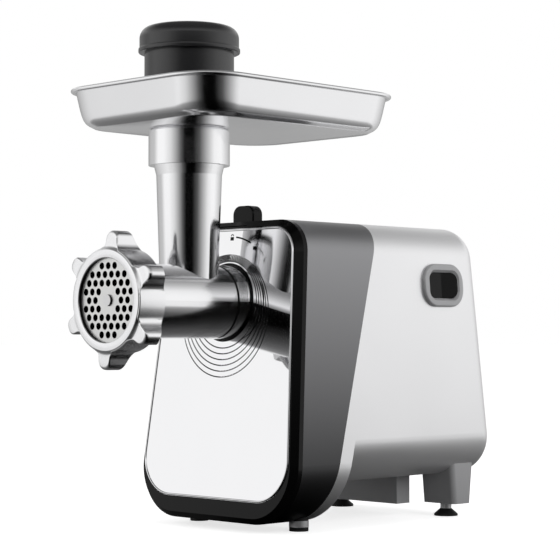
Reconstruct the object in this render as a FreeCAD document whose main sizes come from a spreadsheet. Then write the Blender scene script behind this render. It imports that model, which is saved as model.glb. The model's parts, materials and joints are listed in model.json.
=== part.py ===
import FreeCAD, Part
import math
import os
import re
import Sketcher

# An electric meat grinder: a leaning casing with a mirror front plate, a twist-in grinder
# head with its auger, knife, cutting plate and ring nut, a steel tray with a pusher,
# and inside the casing a universal motor with a three-stage reduction gearbox.
# Millimetres, +Z up, the ring nut faces -Y, the switch is on +X.

# Driving dimensions
SIZES = {
    # output axis height, and where the casing's planes cross the level of that axis
    "axis_z": 165.0,
    "front_y": -51.23,
    "seam_y": 19.87,
    "rear_y": 157.32,
    # how far those planes lean from the vertical, in degrees
    "front_angle": 6.07,
    "seam_angle": 17.46,
    "rear_angle": 3.5,
    "side_angle": 4.0,
    # casing section
    "half_width": 82.0,
    "width_level": 50.0,
    "body_top": 224.5,
    "body_bottom": 6.0,
    "rear_bottom": 33.0,
    "top_round": 26.0,
    "bottom_round": 40.0,
    "rear_bottom_round": 30.0,
    "rear_round": 17.0,
    "shell": 3.0,
    "strip_width": 12.5,
    # front bezel and mirror plate
    "bezel_depth": 8.5,
    "bezel_wall": 3.0,
    "bezel_slope": 4.5,
    "plate_side_inset": 5.4,
    "plate_top_inset": 5.4,
    "plate_bottom_inset": 16.0,
    "plate_top_round": 20.0,
    "plate_bottom_round": 30.0,
    "plate_sheet": 1.2,
    "plate_proud": 0.4,
    "plate_gap": 0.2,
    "plate_hole": 29.0,
    "ring_count": 6.0,
    "ring_first": 32.1,
    "ring_step": 2.6,
    "ring_drop": 1.65,
    "ring_groove": 0.45,
    # grinder head
    "head_reach": 115.0,
    "socket_depth": 10.0,
    "barrel_radius": 26.5,
    "barrel_bore": 24.0,
    "barrel_collar": 27.0,
    "collar_length": 22.0,
    "collar_groove": 1.6,
    "groove_depth": 0.8,
    "back_wall": 8.0,
    "cup_radius": 33.4,
    "cup_length": 17.0,
    "cup_slope": 6.0,
    "lug_height": 1.6,
    "lug_width": 12.0,
    "lug_length": 4.0,
    "twist_angle": 40.0,
    "feed_setback": 78.0,
    "tube_radius": 20.6,
    "tube_top_radius": 23.7,
    "tube_bore": 19.5,
    "flare_radius": 25.4,
    "flare_height": 7.0,
    "collar_radius": 29.35,
    "collar_wall": 3.3,
    "collar_low": 263.0,
    "collar_top": 289.0,
    "collar_edge": 1.5,
    # cutting set
    "cutter_radius": 31.0,
    "cutter_thickness": 5.0,
    "cutter_clear": 0.15,
    "cutter_proud": 0.5,
    "mince_hole": 2.5,
    "mince_pitch": 6.9,
    "mince_inner": 10.0,
    "mince_outer": 25.5,
    "stud_radius": 4.0,
    "knife_reach": 30.0,
    "knife_thickness": 6.0,
    "knife_arm": 9.0,
    "knife_hub": 11.0,
    "knife_square": 9.0,
    # ring nut
    "nut_radius": 36.5,
    "nut_length": 24.0,
    "nut_lip": 2.8,
    "nut_opening": 29.4,
    "nut_edge": 2.8,
    "thread_clear": 0.1,
    "lobe_count": 6.0,
    "lobe_tip": 48.5,
    "lobe_tip_width": 10.4,
    "lobe_root_width": 14.0,
    "lobe_round": 5.0,
    "lobe_blend": 7.0,
    "lobe_setback": 2.2,
    "lobe_land": 15.0,
    "lobe_end": 22.5,
    "nut_clock": 5.5,
    # auger
    "auger_clear": 0.5,
    "auger_core": 9.5,
    "auger_pitch": 27.0,
    "auger_flight": 4.0,
    "journal_radius": 9.0,
    "bush_wall": 3.0,
    "hex_flats": 12.0,
    "hex_clear": 0.1,
    "hex_length": 11.0,
    # tray and pusher
    "tray_setback": 17.0,
    "tray_length": 209.0,
    "tray_half_width": 83.0,
    "tray_depth": 31.0,
    "tray_corner": 35.0,
    "corner_shrink": 0.5,
    "dish_neck": 31.0,
    "belly_curve": 1.4,
    "dish_heel": 14.0,
    "dish_heel_rise": 2.5,
    "heel_bend": 9.2,
    "heel_bend_rise": 5.4,
    "wall_foot": 6.5,
    "wall_foot_rise": 11.0,
    "tray_sheet": 1.2,
    "rim_flange": 3.0,
    "neck_length": 14.0,
    "neck_gap": 0.3,
    "pusher_rise": 0.8,
    "pusher_radius": 32.4,
    "pusher_wall": 2.5,
    "plunger_gap": 0.35,
    "plunger_low": 200.0,
    "cap_radius": 36.0,
    "cap_low": 344.5,
    "cap_top": 364.0,
    "cap_round": 8.5,
    "cap_rim": 3.0,
    "cap_rim_proud": 0.8,
    # gears: stub teeth on parallel axes, the second axle's distance from the casing's side,
    # and the directions from there to the next shafts
    "tooth_angle": 25.0,
    "tooth_tip": 0.8,
    "tooth_root": 1.05,
    "backlash": 0.14,
    "first_module": 0.8,
    "second_module": 1.0,
    "third_module": 1.5,
    "pinion_teeth": 12.0,
    "first_teeth": 60.0,
    "second_teeth": 54.0,
    "third_teeth": 48.0,
    "gear_side": 51.89,
    "second_direction": 307.0,
    "first_direction": 290.0,
    "first_face": 8.0,
    "second_face": 10.0,
    "third_face": 16.0,
    "gear_gap": 3.0,
    "first_axle_radius": 3.0,
    "second_axle_radius": 4.0,
    "drive_radius": 11.0,
    "drive_tail": 8.0,
    # gearbox
    "gearbox_setback": 11.0,
    "case_wall": 4.0,
    "case_gap": 3.0,
    "case_round": 8.0,
    "cover_thickness": 5.0,
    "running_gap": 0.05,
    "seat_gap": 0.1,
    "socket_wall": 8.0,
    "socket_flange": 7.0,
    "socket_flange_thickness": 4.0,
    "socket_gap": 0.3,
    "screw_radius": 1.5,
    "screw_head": 2.8,
    "screw_head_height": 2.0,
    "screw_length": 10.0,
    # motor
    "shaft_nose": 2.5,
    "shaft_radius": 4.0,
    "bearing_radius": 9.5,
    "bearing_width": 6.0,
    "fan_gap": 4.0,
    "fan_radius": 30.0,
    "fan_width": 10.0,
    "fan_hub": 9.0,
    "fan_plate": 1.6,
    "fan_blades": 9.0,
    "fan_blade": 1.6,
    "stator_gap": 16.0,
    "stator_half": 36.0,
    "stator_length": 45.0,
    "stator_bore": 22.0,
    "stator_round": 8.0,
    "pole_half": 12.0,
    "yoke": 8.0,
    "air_gap": 0.5,
    "coil_overhang": 9.0,
    "coil_width": 10.0,
    "coil_height": 8.0,
    "coil_clear": 0.4,
    "rotor_slots": 12.0,
    "slot_depth": 9.0,
    "slot_width": 3.0,
    "commutator_gap": 8.0,
    "commutator_radius": 11.0,
    "commutator_length": 15.0,
    "bracket_gap": 5.0,
    "bracket_thickness": 8.0,
    "brush_width": 6.0,
    "brush_depth": 8.0,
    "brush_length": 14.0,
    "brush_case": 2.0,
    "bolt_radius": 2.0,
    "bolt_inset": 6.0,
    "pad_half_width": 30.0,
    "pad_length": 36.0,
    # feet and base
    "foot_radius": 7.0,
    "foot_inset": 29.0,
    "foot_setback": 22.0,
    "foot_overlap": 6.0,
    "leg_inset": 10.0,
    "leg_width": 33.0,
    "leg_low": 10.0,
    "leg_setback": 171.0,
    "leg_length": 28.0,
    "leg_taper": 4.0,
    "leg_round": 4.0,
    "leg_overlap": 14.0,
    "cup_foot_setback": 13.0,
    "cup_foot_rim": 1.5,
    "cup_foot_radius": 9.25,
    "cup_foot_height": 6.0,
    "cup_stem": 4.0,
    "beam_gap": 2.0,
    "beam_setback": 147.0,
    "beam_length": 15.0,
    # switch
    "switch_y": 107.67,
    "switch_z": 179.0,
    "switch_length": 46.0,
    "switch_height": 33.0,
    "switch_round": 14.0,
    "switch_rim": 3.0,
    "switch_opening": 32.0,
    "switch_opening_height": 20.0,
    "switch_opening_round": 6.0,
    "rocker_gap": 1.1,
    "rocker_side_gap": 0.3,
    "rocker_bulge": 2.0,
    "rocker_depth": 7.0,
    "rocker_pivot": 4.0,
    "spigot_length": 11.0,
    "rocker_tilt": 8.0,
    "switch_body_depth": 20.0,
    "switch_wall": 2.0,
    "pivot_radius": 1.5,
    # lock button
    "button_setback": 10.5,
    "button_width": 22.0,
    "button_depth": 10.0,
    "button_height": 12.5,
    "button_round": 7.0,
    "button_edge": 1.2,
    "button_gap": 0.4,
    "button_travel": 3.5,
    "latch_thickness": 3.0,
    "latch_width": 9.0,
    "latch_tip": 3.0,
    "latch_clear": 1.0,
    "spring_radius": 2.6,
    "spring_wire": 0.35,
    "spring_turns": 3.0,
    # cord inlet
    "inlet_z": 62.0,
    "inlet_bore": 3.6,
    "inlet_radius": 7.0,
    "inlet_flange": 10.0,
    "inlet_proud": 2.0,
    "inlet_length": 16.0,
}

# Places and fits that follow from the driving dimensions
PLACES = {
    "half_top": "half_width - tan(side_angle) * (body_top - width_level)",
    "half_bottom": "half_width + tan(side_angle) * (width_level - body_bottom)",
    "half_rear": "half_width + tan(side_angle) * (width_level - rear_bottom)",
    "under": "body_bottom - shell",
    "over": "body_top + shell",
    "front_under": "front_y + tan(front_angle) * (under - axis_z)",
    "front_over": "front_y + tan(front_angle) * (over - axis_z)",
    "seam_under": "seam_y + tan(seam_angle) * (under - axis_z)",
    "seam_over": "seam_y + tan(seam_angle) * (over - axis_z)",
    "rear_under": "rear_y - tan(rear_angle) * (under - axis_z)",
    "rear_over": "rear_y - tan(rear_angle) * (over - axis_z)",
    "plate_low": "body_bottom + plate_bottom_inset",
    "plate_high": "body_top - plate_top_inset",
    "plate_half_low": "half_width + tan(side_angle) * (width_level - plate_low) - plate_side_inset",
    "plate_half_high": "half_width + tan(side_angle) * (width_level - plate_high) - plate_side_inset",
    # grinder head, from the nut's face backwards
    "nut_face": "front_y - head_reach",
    "cutter_front": "nut_face + nut_lip",
    "cutter_back": "cutter_front + cutter_thickness",
    "barrel_front": "cutter_front + cutter_proud",
    "barrel_back": "front_y + socket_depth",
    "collar_front": "barrel_back - collar_length",
    "knife_front": "cutter_back + seat_gap",
    "knife_back": "knife_front + knife_thickness",
    "bore_back": "barrel_back - back_wall",
    "feed_y": "nut_face + feed_setback",
    "collar_bore": "collar_radius - collar_wall",
    "neck_radius": "collar_bore - neck_gap",
    "neck_bore": "neck_radius - tray_sheet",
    "lug_radius": "barrel_collar + lug_height",
    "socket_bore": "barrel_collar + running_gap",
    "socket_radius": "socket_bore + socket_wall",
    "flight_radius": "barrel_bore - auger_clear",
    # tray and pusher
    "tray_floor": "collar_top + seat_gap",
    "tray_rim": "tray_floor + tray_depth",
    "tray_front": "nut_face + tray_setback",
    "pusher_low": "tray_floor + tray_sheet + pusher_rise",
    "plunger_radius": "tube_bore - plunger_gap",
    # gear planes, from the front of the gearbox backwards
    "case_front": "front_y + gearbox_setback",
    "third_front": "case_front + case_wall + gear_gap",
    "third_back": "third_front + third_face",
    "second_front": "third_back + gear_gap",
    "second_back": "second_front + second_face",
    "first_front": "second_back + gear_gap",
    "first_back": "first_front + first_face",
    "cover_front": "first_back + gear_gap",
    "cover_back": "cover_front + cover_thickness",
    # shaft places
    "third_distance": "third_module * (pinion_teeth + third_teeth) / 2",
    "second_distance": "second_module * (pinion_teeth + second_teeth) / 2",
    "first_distance": "first_module * (pinion_teeth + first_teeth) / 2",
    "second_x": "gear_side - half_width",
    "second_z": "axis_z - sqrt(third_distance ^ 2 - second_x ^ 2)",
    "first_x": "second_x + second_distance * cos(second_direction)",
    "first_z": "second_z + second_distance * sin(second_direction)",
    "motor_x": "first_x + first_distance * cos(first_direction)",
    "motor_z": "first_z + first_distance * sin(first_direction)",
    "third_reach": "third_module * (third_teeth / 2 + tooth_tip)",
    "second_reach": "second_module * (second_teeth / 2 + tooth_tip)",
    "case_left": "second_x - second_reach - case_gap - case_wall",
    "case_right": "third_reach + case_gap + case_wall",
    "case_low": "motor_z - bearing_radius - case_gap - case_wall",
    "case_high": "axis_z + third_reach + case_gap + case_wall",
    # motor, from the gearbox cover backwards
    "bearing_back": "cover_front + bearing_width",
    "fan_front": "cover_back + fan_gap",
    "fan_back": "fan_front + fan_width",
    "stator_front": "fan_back + stator_gap",
    "stator_back": "stator_front + stator_length",
    "commutator_front": "stator_back + coil_overhang + commutator_gap",
    "commutator_back": "commutator_front + commutator_length",
    "bracket_front": "commutator_back + bracket_gap",
    "bracket_back": "bracket_front + bracket_thickness",
    "rotor_radius": "stator_bore - air_gap",
    "rear_floor": "rear_bottom + shell",
    # feet, drawn in from the casing's sides
    "foot_spread": "half_width - foot_inset",
    "leg_outer": "half_width - leg_inset",
    "leg_inner": "leg_outer - leg_width",
    "beam_half": "leg_inner - beam_gap",
    # switch on the leaning side wall
    "side_x": "half_width - tan(side_angle) * (switch_z - width_level)",
    # lock button on the casing's top
    "button_front": "front_y + tan(front_angle) * (body_top - axis_z) + button_setback",
    "button_centre": "button_front + button_depth / 2",
    "latch_top": "body_top - shell - latch_clear",
    "latch_front": "barrel_back - latch_thickness - seat_gap",
    "latch_low": "axis_z + lug_radius + latch_clear + button_travel",
    # cord inlet in the rear wall
    "inlet_y": "rear_y - tan(rear_angle) * (inlet_z - axis_z)",
}

doc = FreeCAD.newDocument("meat_grinder")
sheet = doc.addObject("Spreadsheet::Sheet", "Sizes")
for row, (alias, size) in enumerate(SIZES.items(), start=1):
    sheet.set("A{}".format(row), alias)
    sheet.set("B{}".format(row), str(size))
    sheet.setAlias("B{}".format(row), alias)
doc.recompute()

nodes = []


# Building blocks

def formula(text):
    """The text with each named place written out and each size read from the sheet."""
    def swap(found):
        word = found.group(0)
        if word in PLACES:
            return "(" + formula(PLACES[word]) + ")"
        if word in SIZES:
            return "Sizes." + word
        return word
    return re.sub(r"[a-z][a-z_]*", swap, text)


def value(text):
    """The number that a formula has now."""
    return float(sheet.evalExpression(formula(text)))


def keep(piece, label):
    """Takes a finished object as the sub-part of that name."""
    piece.Label = label
    nodes.append(piece)
    return piece


def place(piece, x="0", y="0", z="0", axis=(0, 0, 1), turn="0"):
    """Binds a piece's place, and its turn about an axis, to formulas."""
    spot = "vector({};{};{})".format(formula(x), formula(y), formula(z))
    spin = "rotation(vector({};{};{});{})".format(*axis, formula(turn))
    piece.setExpression("Placement", "placement({};{})".format(spot, spin))
    return piece


def new_sketch(body, plane):
    """An empty sketch on one of the body's own origin planes."""
    base = [item for item in body.Origin.OriginFeatures if item.Role == plane][0]
    sketch = body.newObject("Sketcher::SketchObject", body.Name + "_sketch")
    sketch.AttachmentSupport = [(base, "")]
    sketch.MapMode = "FlatFace"
    return sketch


def polygon(sketch, points):
    """Draws a closed outline whose corners are bound to pairs of formulas."""
    spots = [FreeCAD.Vector(value(across), value(up), 0) for across, up in points]
    count = len(spots)
    for index in range(count):
        sketch.addGeometry(Part.LineSegment(spots[index], spots[(index + 1) % count]))
    for index in range(count):
        sketch.addConstraint(Sketcher.Constraint("Coincident", index, 2, (index + 1) % count, 1))
    for index, (across, up) in enumerate(points):
        for kind, text, number in (("DistanceX", across, spots[index].x),
                                   ("DistanceY", up, spots[index].y)):
            made = sketch.addConstraint(Sketcher.Constraint(kind, -1, 1, index, 1, number))
            sketch.setExpression("Constraints[{}]".format(made), formula(text))


def turned(name, points, along="Y", at=("0", "0", "0")):
    """A solid of revolution from (radius, distance along the axis) corners."""
    body = doc.addObject("PartDesign::Body", name)
    sketch = new_sketch(body, "XY_Plane" if along == "Y" else "XZ_Plane")
    polygon(sketch, points)
    turn = body.newObject("PartDesign::Revolution", name + "_turn")
    turn.Profile = sketch
    turn.ReferenceAxis = (sketch, ["V_Axis"])
    turn.Angle = 360
    return place(body, *at)


def on_axis(name, points):
    """A solid of revolution about the output axis."""
    return turned(name, points, "Y", ("0", "0", "axis_z"))


def prism(name, plane, points, length, at=("0", "0", "0"), rounds=()):
    """A padded outline; rounds are (corner numbers, radius) for its long edges."""
    body = doc.addObject("PartDesign::Body", name)
    sketch = new_sketch(body, plane)
    polygon(sketch, points)
    pad = body.newObject("PartDesign::Pad", name + "_pad")
    pad.Profile = sketch
    pad.setExpression("Length", formula(length))
    pad.Reversed = plane == "XZ_Plane"
    doc.recompute()
    for corners, radius in rounds:
        starts = [sketch.Geometry[corner].StartPoint for corner in corners]
        starts = [sketch.Placement.multVec(start) for start in starts]
        normal = sketch.Placement.Rotation.multVec(FreeCAD.Vector(0, 0, 1))
        last = body.Tip
        picked = []
        for number, edge in enumerate(last.Shape.Edges, start=1):
            ends = [vertex.Point for vertex in edge.Vertexes]
            for start in starts:
                near = [end for end in ends if end.distanceToPoint(start) < 1e-4]
                leaves = abs((ends[-1] - ends[0]).dot(normal))
                if near and leaves > 1e-4:
                    picked.append("Edge{}".format(number))
        fillet = body.newObject("PartDesign::Fillet", name + "_round")
        fillet.Base = (last, picked)
        fillet.setExpression("Radius", formula(radius))
        doc.recompute()
    return place(body, *at)


def cylinder(name, radius, length, x, y, z, along="Y"):
    """A plain cylinder that starts at a point and runs along +Y, +Z or +X."""
    piece = doc.addObject("Part::Cylinder", name)
    piece.setExpression("Radius", formula(radius))
    piece.setExpression("Height", formula(length))
    axis, turn = {"Y": ((1, 0, 0), "-90"), "Z": ((0, 0, 1), "0"), "X": ((0, 1, 0), "90")}[along]
    return place(piece, x, y, z, axis, turn)


def box(name, low, high):
    """A box between two corners given as formulas."""
    piece = doc.addObject("Part::Box", name)
    for side, start, end in zip(("Length", "Width", "Height"), low, high):
        piece.setExpression(side, formula("({}) - ({})".format(end, start)))
    return place(piece, *low)


def fuse(name, pieces):
    piece = doc.addObject("Part::MultiFuse", name)
    piece.Shapes = pieces
    piece.Refine = False
    return piece


def cut(name, base, tools):
    """The base less its tools."""
    piece = doc.addObject("Part::Cut", name)
    piece.Base = base
    piece.Tool = tools[0] if len(tools) == 1 else fuse(name + "_tools", tools)
    piece.Refine = False
    return piece


def common(name, first, second):
    piece = doc.addObject("Part::Common", name)
    piece.Base = first
    piece.Tool = second
    piece.Refine = False
    return piece


def rounded(name, base, pick, radius):
    """The base with the edges that pick chooses rounded."""
    doc.recompute()
    size = value(radius)
    piece = doc.addObject("Part::Fillet", name)
    piece.Base = base
    piece.Edges = [(number, size, size)
                   for number, edge in enumerate(base.Shape.Edges, start=1) if pick(edge)]
    return piece


def bevelled(name, base, pick, width):
    """The base with the edges that pick chooses cut back at an even slope."""
    doc.recompute()
    size = value(width)
    piece = doc.addObject("Part::Chamfer", name)
    piece.Base = base
    piece.Edges = [(number, size, size)
                   for number, edge in enumerate(base.Shape.Edges, start=1) if pick(edge)]
    return piece


def slab(name, front, back):
    """All of the casing's space between two leaning planes, each named by its two ends."""
    outline = [(front[0], "under"), (back[0], "under"), (back[1], "over"), (front[1], "over")]
    return prism(name, "YZ_Plane", outline, "4 * half_width", ("-2 * half_width", "0", "0"))


def shifted(ends, step):
    return tuple("{} + {}".format(end, step) for end in ends)


FRONT = ("front_under", "front_over")
SEAM = ("seam_under", "seam_over")
REAR = ("rear_under", "rear_over")


def casing_block(name, half_low, low, low_round, inset):
    """The casing's section, drawn in by an inset, from in front of it to behind it."""
    outline = [("-({}) + {}".format(half_low, inset), "{} + {}".format(low, inset)),
               ("{} - {}".format(half_low, inset), "{} + {}".format(low, inset)),
               ("half_top - {}".format(inset), "body_top - {}".format(inset)),
               ("-half_top + {}".format(inset), "body_top - {}".format(inset))]
    rounds = [((0, 1), "{} - {}".format(low_round, inset)), ((2, 3), "top_round - {}".format(inset))]
    return prism(name, "XZ_Plane", outline, "rear_under - front_under", ("0", "front_under", "0"), rounds)


def on_side(piece, depth, rise="0", tilt="0", lay="0", along="0"):
    """Sets a piece drawn in the switch's own plane on the leaning side wall.

    Its x runs backwards, its y up the wall and its z out of it. depth is how far out it
    stands, rise how far up, along how far back, tilt its turn about its y and lay its turn about its x."""
    out = "side_x + ({}) * cos(side_angle) - ({}) * sin(side_angle)".format(depth, rise)
    up = "switch_z + ({}) * sin(side_angle) + ({}) * cos(side_angle)".format(depth, rise)
    spot = "vector({};{};{})".format(formula(out), formula("switch_y + " + along), formula(up))
    turns = ["rotation(vector(0;1;0);{})".format(formula("-side_angle")), "rotation(vector(1;1;1);120)",
             "rotation(vector(0;1;0);{})".format(formula(tilt)),
             "rotation(vector(1;0;0);{})".format(formula(lay))]
    piece.setExpression("Placement", "placement({};{})".format(spot, " * ".join(turns)))
    return piece


def rectangle(length, height):
    """A centred rectangle's corners."""
    across = "({}) / 2".format(length)
    up = "({}) / 2".format(height)
    return [("-" + across, "-" + up), (across, "-" + up), (across, up), ("-" + across, up)]


def side_block(name, length, height, low, high, radius=None):
    """A block on the switch's plane, between two depths."""
    rounds = [((0, 1, 2, 3), radius)] if radius else []
    block = prism(name, "XY_Plane", rectangle(length, height), "({}) - ({})".format(high, low),
                  rounds=rounds)
    return on_side(block, low)


def lies_on(plane_ends, step="0"):
    """A test for edges that lie on a leaning plane of the casing."""
    low_y = value(plane_ends[0] + " + " + step)
    high_y = value(plane_ends[1] + " + " + step)
    low_z = value("under")
    lean = (high_y - low_y) / (value("over") - low_z)

    def test(edge):
        spots = edge.discretize(5)
        return all(abs(spot.y - low_y - lean * (spot.z - low_z)) < 1e-3 for spot in spots)
    return test


# Casing

full_block = casing_block("full_block", "half_bottom", "body_bottom", "bottom_round", "0")
full_hollow = casing_block("full_hollow", "half_bottom", "body_bottom", "bottom_round", "shell")
rear_block = casing_block("rear_block", "half_rear", "rear_bottom", "rear_bottom_round", "0")
rear_hollow = casing_block("rear_hollow", "half_rear", "rear_bottom", "rear_bottom_round", "shell")

# socket of the grinder head, cut back to the leaning plate
socket_hole = cylinder("socket_hole", "socket_radius + socket_gap", "rear_y - front_y",
                       "0", "front_y - socket_depth", "axis_z")

# mirror plate in a shallow seat
plate_outline = [("-plate_half_low", "plate_low"), ("plate_half_low", "plate_low"),
                 ("plate_half_high", "plate_high"), ("-plate_half_high", "plate_high")]
plate_rounds = [((0, 1), "plate_bottom_round"), ((2, 3), "plate_top_round")]
seat_outline = [("-plate_half_low - plate_gap", "plate_low - plate_gap"),
                ("plate_half_low + plate_gap", "plate_low - plate_gap"),
                ("plate_half_high + plate_gap", "plate_high + plate_gap"),
                ("-plate_half_high - plate_gap", "plate_high + plate_gap")]
block_span = "rear_under - front_under"
plate_block = prism("plate_block", "XZ_Plane", plate_outline, block_span,
                    ("0", "front_under - plate_sheet", "0"), plate_rounds)
seat_block = prism("seat_block", "XZ_Plane", seat_outline, block_span,
                   ("0", "front_under - plate_sheet", "0"),
                   [((0, 1), "plate_bottom_round + plate_gap"), ((2, 3), "plate_top_round + plate_gap")])
plate_body = common("plate_body", plate_block,
                    slab("plate_slab", shifted(FRONT, "-plate_proud"),
                         shifted(FRONT, "plate_sheet - plate_proud")))
plate_hole = cylinder("plate_hole_tool", "plate_hole", "2 * head_reach", "0", "nut_face", "axis_z")
grooves = []
for ring in range(int(value("ring_count"))):
    groove = doc.addObject("Part::Torus", "ring_groove_{}".format(ring))
    groove.setExpression("Radius1", formula("ring_first + {} * ring_step".format(ring)))
    groove.setExpression("Radius2", formula("ring_groove"))
    drop = "({} * ring_drop)".format(ring + 1)
    place(groove, "0", "front_y - plate_proud - tan(front_angle) * " + drop, "axis_z - " + drop,
          (1, 0, 0), "90 - front_angle")
    grooves.append(groove)
keep(cut("front_plate", plate_body, [plate_hole] + grooves), "front_plate")

# black bezel that carries the plate
bezel_block = common("bezel_block", full_block, slab("bezel_slab", FRONT, shifted(FRONT, "bezel_depth")))
bezel_body = bevelled("bezel_body", bezel_block, lies_on(FRONT), "bezel_slope")
bezel_back = shifted(FRONT, "2 * bezel_depth")
bezel_inside = slab("bezel_inside", shifted(FRONT, "plate_sheet + bezel_wall"), bezel_back)
bezel_hollow = common("bezel_hollow", full_hollow, bezel_inside)
bezel_seat = common("bezel_seat", seat_block,
                    slab("seat_slab", shifted(FRONT, "-plate_sheet"),
                         shifted(FRONT, "plate_sheet - plate_proud")))
flange_room = cylinder("flange_room", "socket_radius + socket_flange + socket_gap", "2 * bezel_depth", "0",
                       "case_front - socket_flange_thickness - screw_head_height - socket_gap", "axis_z")
latch_room = box("latch_room",
                 ("-button_width / 2 - latch_tip - socket_gap", "latch_front - socket_gap",
                  "axis_z + barrel_collar"),
                 ("button_width / 2 + latch_tip + socket_gap", "case_front", "latch_top + latch_clear"))
keep(cut("front_bezel", bezel_body, [bezel_hollow, bezel_seat, socket_hole, flange_room, latch_room]),
     "front_bezel")

# dark band between the bezel and the slanting seam, with the lock button's hole in its top
band_block = common("band_block", full_block, slab("band_slab", shifted(FRONT, "bezel_depth"), SEAM))
button_hole = box("button_hole", ("-button_width / 2 - button_gap", "button_front - button_gap",
                                  "body_top - top_round"),
                  ("button_width / 2 + button_gap", "button_front + button_depth + button_gap", "over"))
keep(cut("front_housing", band_block, [full_hollow, button_hole]), "front_housing")

# silver rear housing: a full strip beside the seam, then a raised bottom
strip_block = common("strip_block", full_block, slab("strip_slab", SEAM, shifted(SEAM, "strip_width")))
tail_slab = slab("tail_slab", shifted(SEAM, "strip_width / 2"), REAR)
tail_block = rounded("tail_block", common("tail_raw", rear_block, tail_slab), lies_on(REAR), "rear_round")
rear_body = fuse("rear_body", [strip_block, tail_block])
strip_hollow = common("strip_hollow", full_hollow,
                      slab("strip_inside", shifted(SEAM, "-strip_width"),
                           shifted(SEAM, "strip_width - shell")))
tail_raw = common("tail_hollow_raw", rear_hollow,
                  slab("tail_inside", shifted(SEAM, "strip_width / 4"), shifted(REAR, "-shell")))
tail_hollow = rounded("tail_hollow", tail_raw, lies_on(REAR, "-shell"), "rear_round - shell")
switch_hole = side_block("switch_hole", "switch_opening + 2 * switch_wall",
                         "switch_opening_height + 2 * switch_wall",
                         "-spigot_length", "switch_rim")
inlet_hole = cylinder("inlet_hole", "inlet_radius", "2 * inlet_length", "0", "0", "0")
place(inlet_hole, "0", "inlet_y - inlet_length * cos(rear_angle)",
      "inlet_z - inlet_length * sin(rear_angle)",
      (1, 0, 0), "rear_angle - 90")
rear_strip = cut("rear_strip", rear_body, [strip_hollow])
rear_shell = cut("rear_shell", rear_strip, [tail_hollow])
keep(cut("rear_housing", rear_shell, [switch_hole, inlet_hole]), "rear_housing")

# inlet bush for the power lead, square to the leaning rear wall
inlet = turned("inlet_bush", [("inlet_bore", "-inlet_length"), ("inlet_radius", "-inlet_length"),
                              ("inlet_radius", "0"), ("inlet_flange", "0"), ("inlet_flange", "inlet_proud"),
                              ("inlet_bore", "inlet_proud")])
keep(place(inlet, "0", "inlet_y", "inlet_z", (1, 0, 0), "rear_angle"), "cord_inlet")


# Feet and base

def both_sides(label, make):
    """Makes a piece on the left and one on the right."""
    for side, sign in (("left", "-"), ("right", "")):
        name = "{}_{}".format(label, side)
        keep(make(name, sign), name)


def front_foot(name, sign):
    """A round rubber foot, shaped to the casing's rounded underside."""
    peg = cylinder(name + "_peg", "foot_radius", "body_bottom + foot_overlap",
                   sign + "foot_spread", "front_y + foot_setback", "0", "Z")
    return cut(name, peg, [full_block])


def upright(edge):
    """An edge that runs up a leg."""
    return edge.BoundBox.ZLength > value("leg_round")


def rear_leg(name, sign):
    """A tapered block under the raised rear, shaped to its rounded corner."""
    front = "front_y + leg_setback"
    back = front + " + leg_length"
    outline = [(front + " + leg_taper", "leg_low"), (back + " - leg_taper", "leg_low"),
               (back, "rear_bottom + leg_overlap"), (front, "rear_bottom + leg_overlap")]
    start = "-leg_outer" if sign else "leg_inner"
    block = prism(name + "_block", "YZ_Plane", outline, "leg_width", (start, "0", "0"))
    soft = rounded(name + "_soft", block, upright, "leg_round")
    return cut(name, soft, [tail_block])


def suction_cup(name, sign):
    """A rubber suction cup with its stem, under a rear leg."""
    outline = [("0", "0"), ("cup_foot_radius", "0"), ("cup_foot_radius", "cup_foot_rim"),
               ("cup_stem", "cup_foot_height"), ("cup_stem", "leg_low"), ("0", "leg_low")]
    return turned(name + "_form", outline, "Z",
                  (sign + "(leg_inner + leg_outer) / 2", "front_y + leg_setback + cup_foot_setback", "0"))


both_sides("front_foot", front_foot)
both_sides("rear_leg", rear_leg)
both_sides("suction_cup", suction_cup)
keep(box("beam_block", ("-beam_half", "front_y + beam_setback", "leg_low"),
         ("beam_half", "front_y + beam_setback + beam_length", "rear_bottom")), "base_beam")


# Switch

flange = side_block("switch_flange", "switch_length", "switch_height", "0", "switch_rim", "switch_round")
spigot = side_block("switch_spigot", "switch_opening + 2 * switch_wall",
                    "switch_opening_height + 2 * switch_wall",
                    "-spigot_length", "0")
opening = side_block("switch_opening_tool", "switch_opening", "switch_opening_height",
                     "-2 * spigot_length", "2 * switch_rim", "switch_opening_round")
pin_span = "(switch_opening_height + 2 * switch_wall)"
pin_hole = on_side(cylinder("pin_hole", "pivot_radius + running_gap", pin_span, "0", "0", "0"),
                   "-rocker_pivot", "-" + pin_span + " / 2", "0", "-90")
keep(cut("switch_bezel", fuse("switch_ring", [flange, spigot]), [opening, pin_hole]), "switch_bezel")
rocker_half = "(switch_opening / 2 - rocker_gap)"
rocker_height = "(switch_opening_height - 2 * rocker_side_gap)"
rocker_outline = [("-" + rocker_half, "rocker_pivot - rocker_depth"),
                  (rocker_half, "rocker_pivot - rocker_depth"),
                  (rocker_half, "rocker_pivot + rocker_bulge"), ("0", "rocker_pivot"),
                  ("-" + rocker_half, "rocker_pivot + rocker_bulge")]
paddle = on_side(prism("rocker_paddle", "XZ_Plane", rocker_outline, rocker_height),
                 "-rocker_pivot", "-" + rocker_height + " / 2", "-rocker_tilt")
sole = "(rocker_depth - rocker_pivot)"
block = prism("rocker_block", "XY_Plane", rectangle("2 * " + rocker_half, rocker_height),
              "2 * rocker_depth",
              rounds=[((0, 1, 2, 3), "switch_opening_round")])
on_side(block, "-rocker_pivot - {} * cos(rocker_tilt)".format(sole), "0", "-rocker_tilt", "0",
        "{} * sin(rocker_tilt)".format(sole))
rocker = common("rocker_body", paddle, block)
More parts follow.
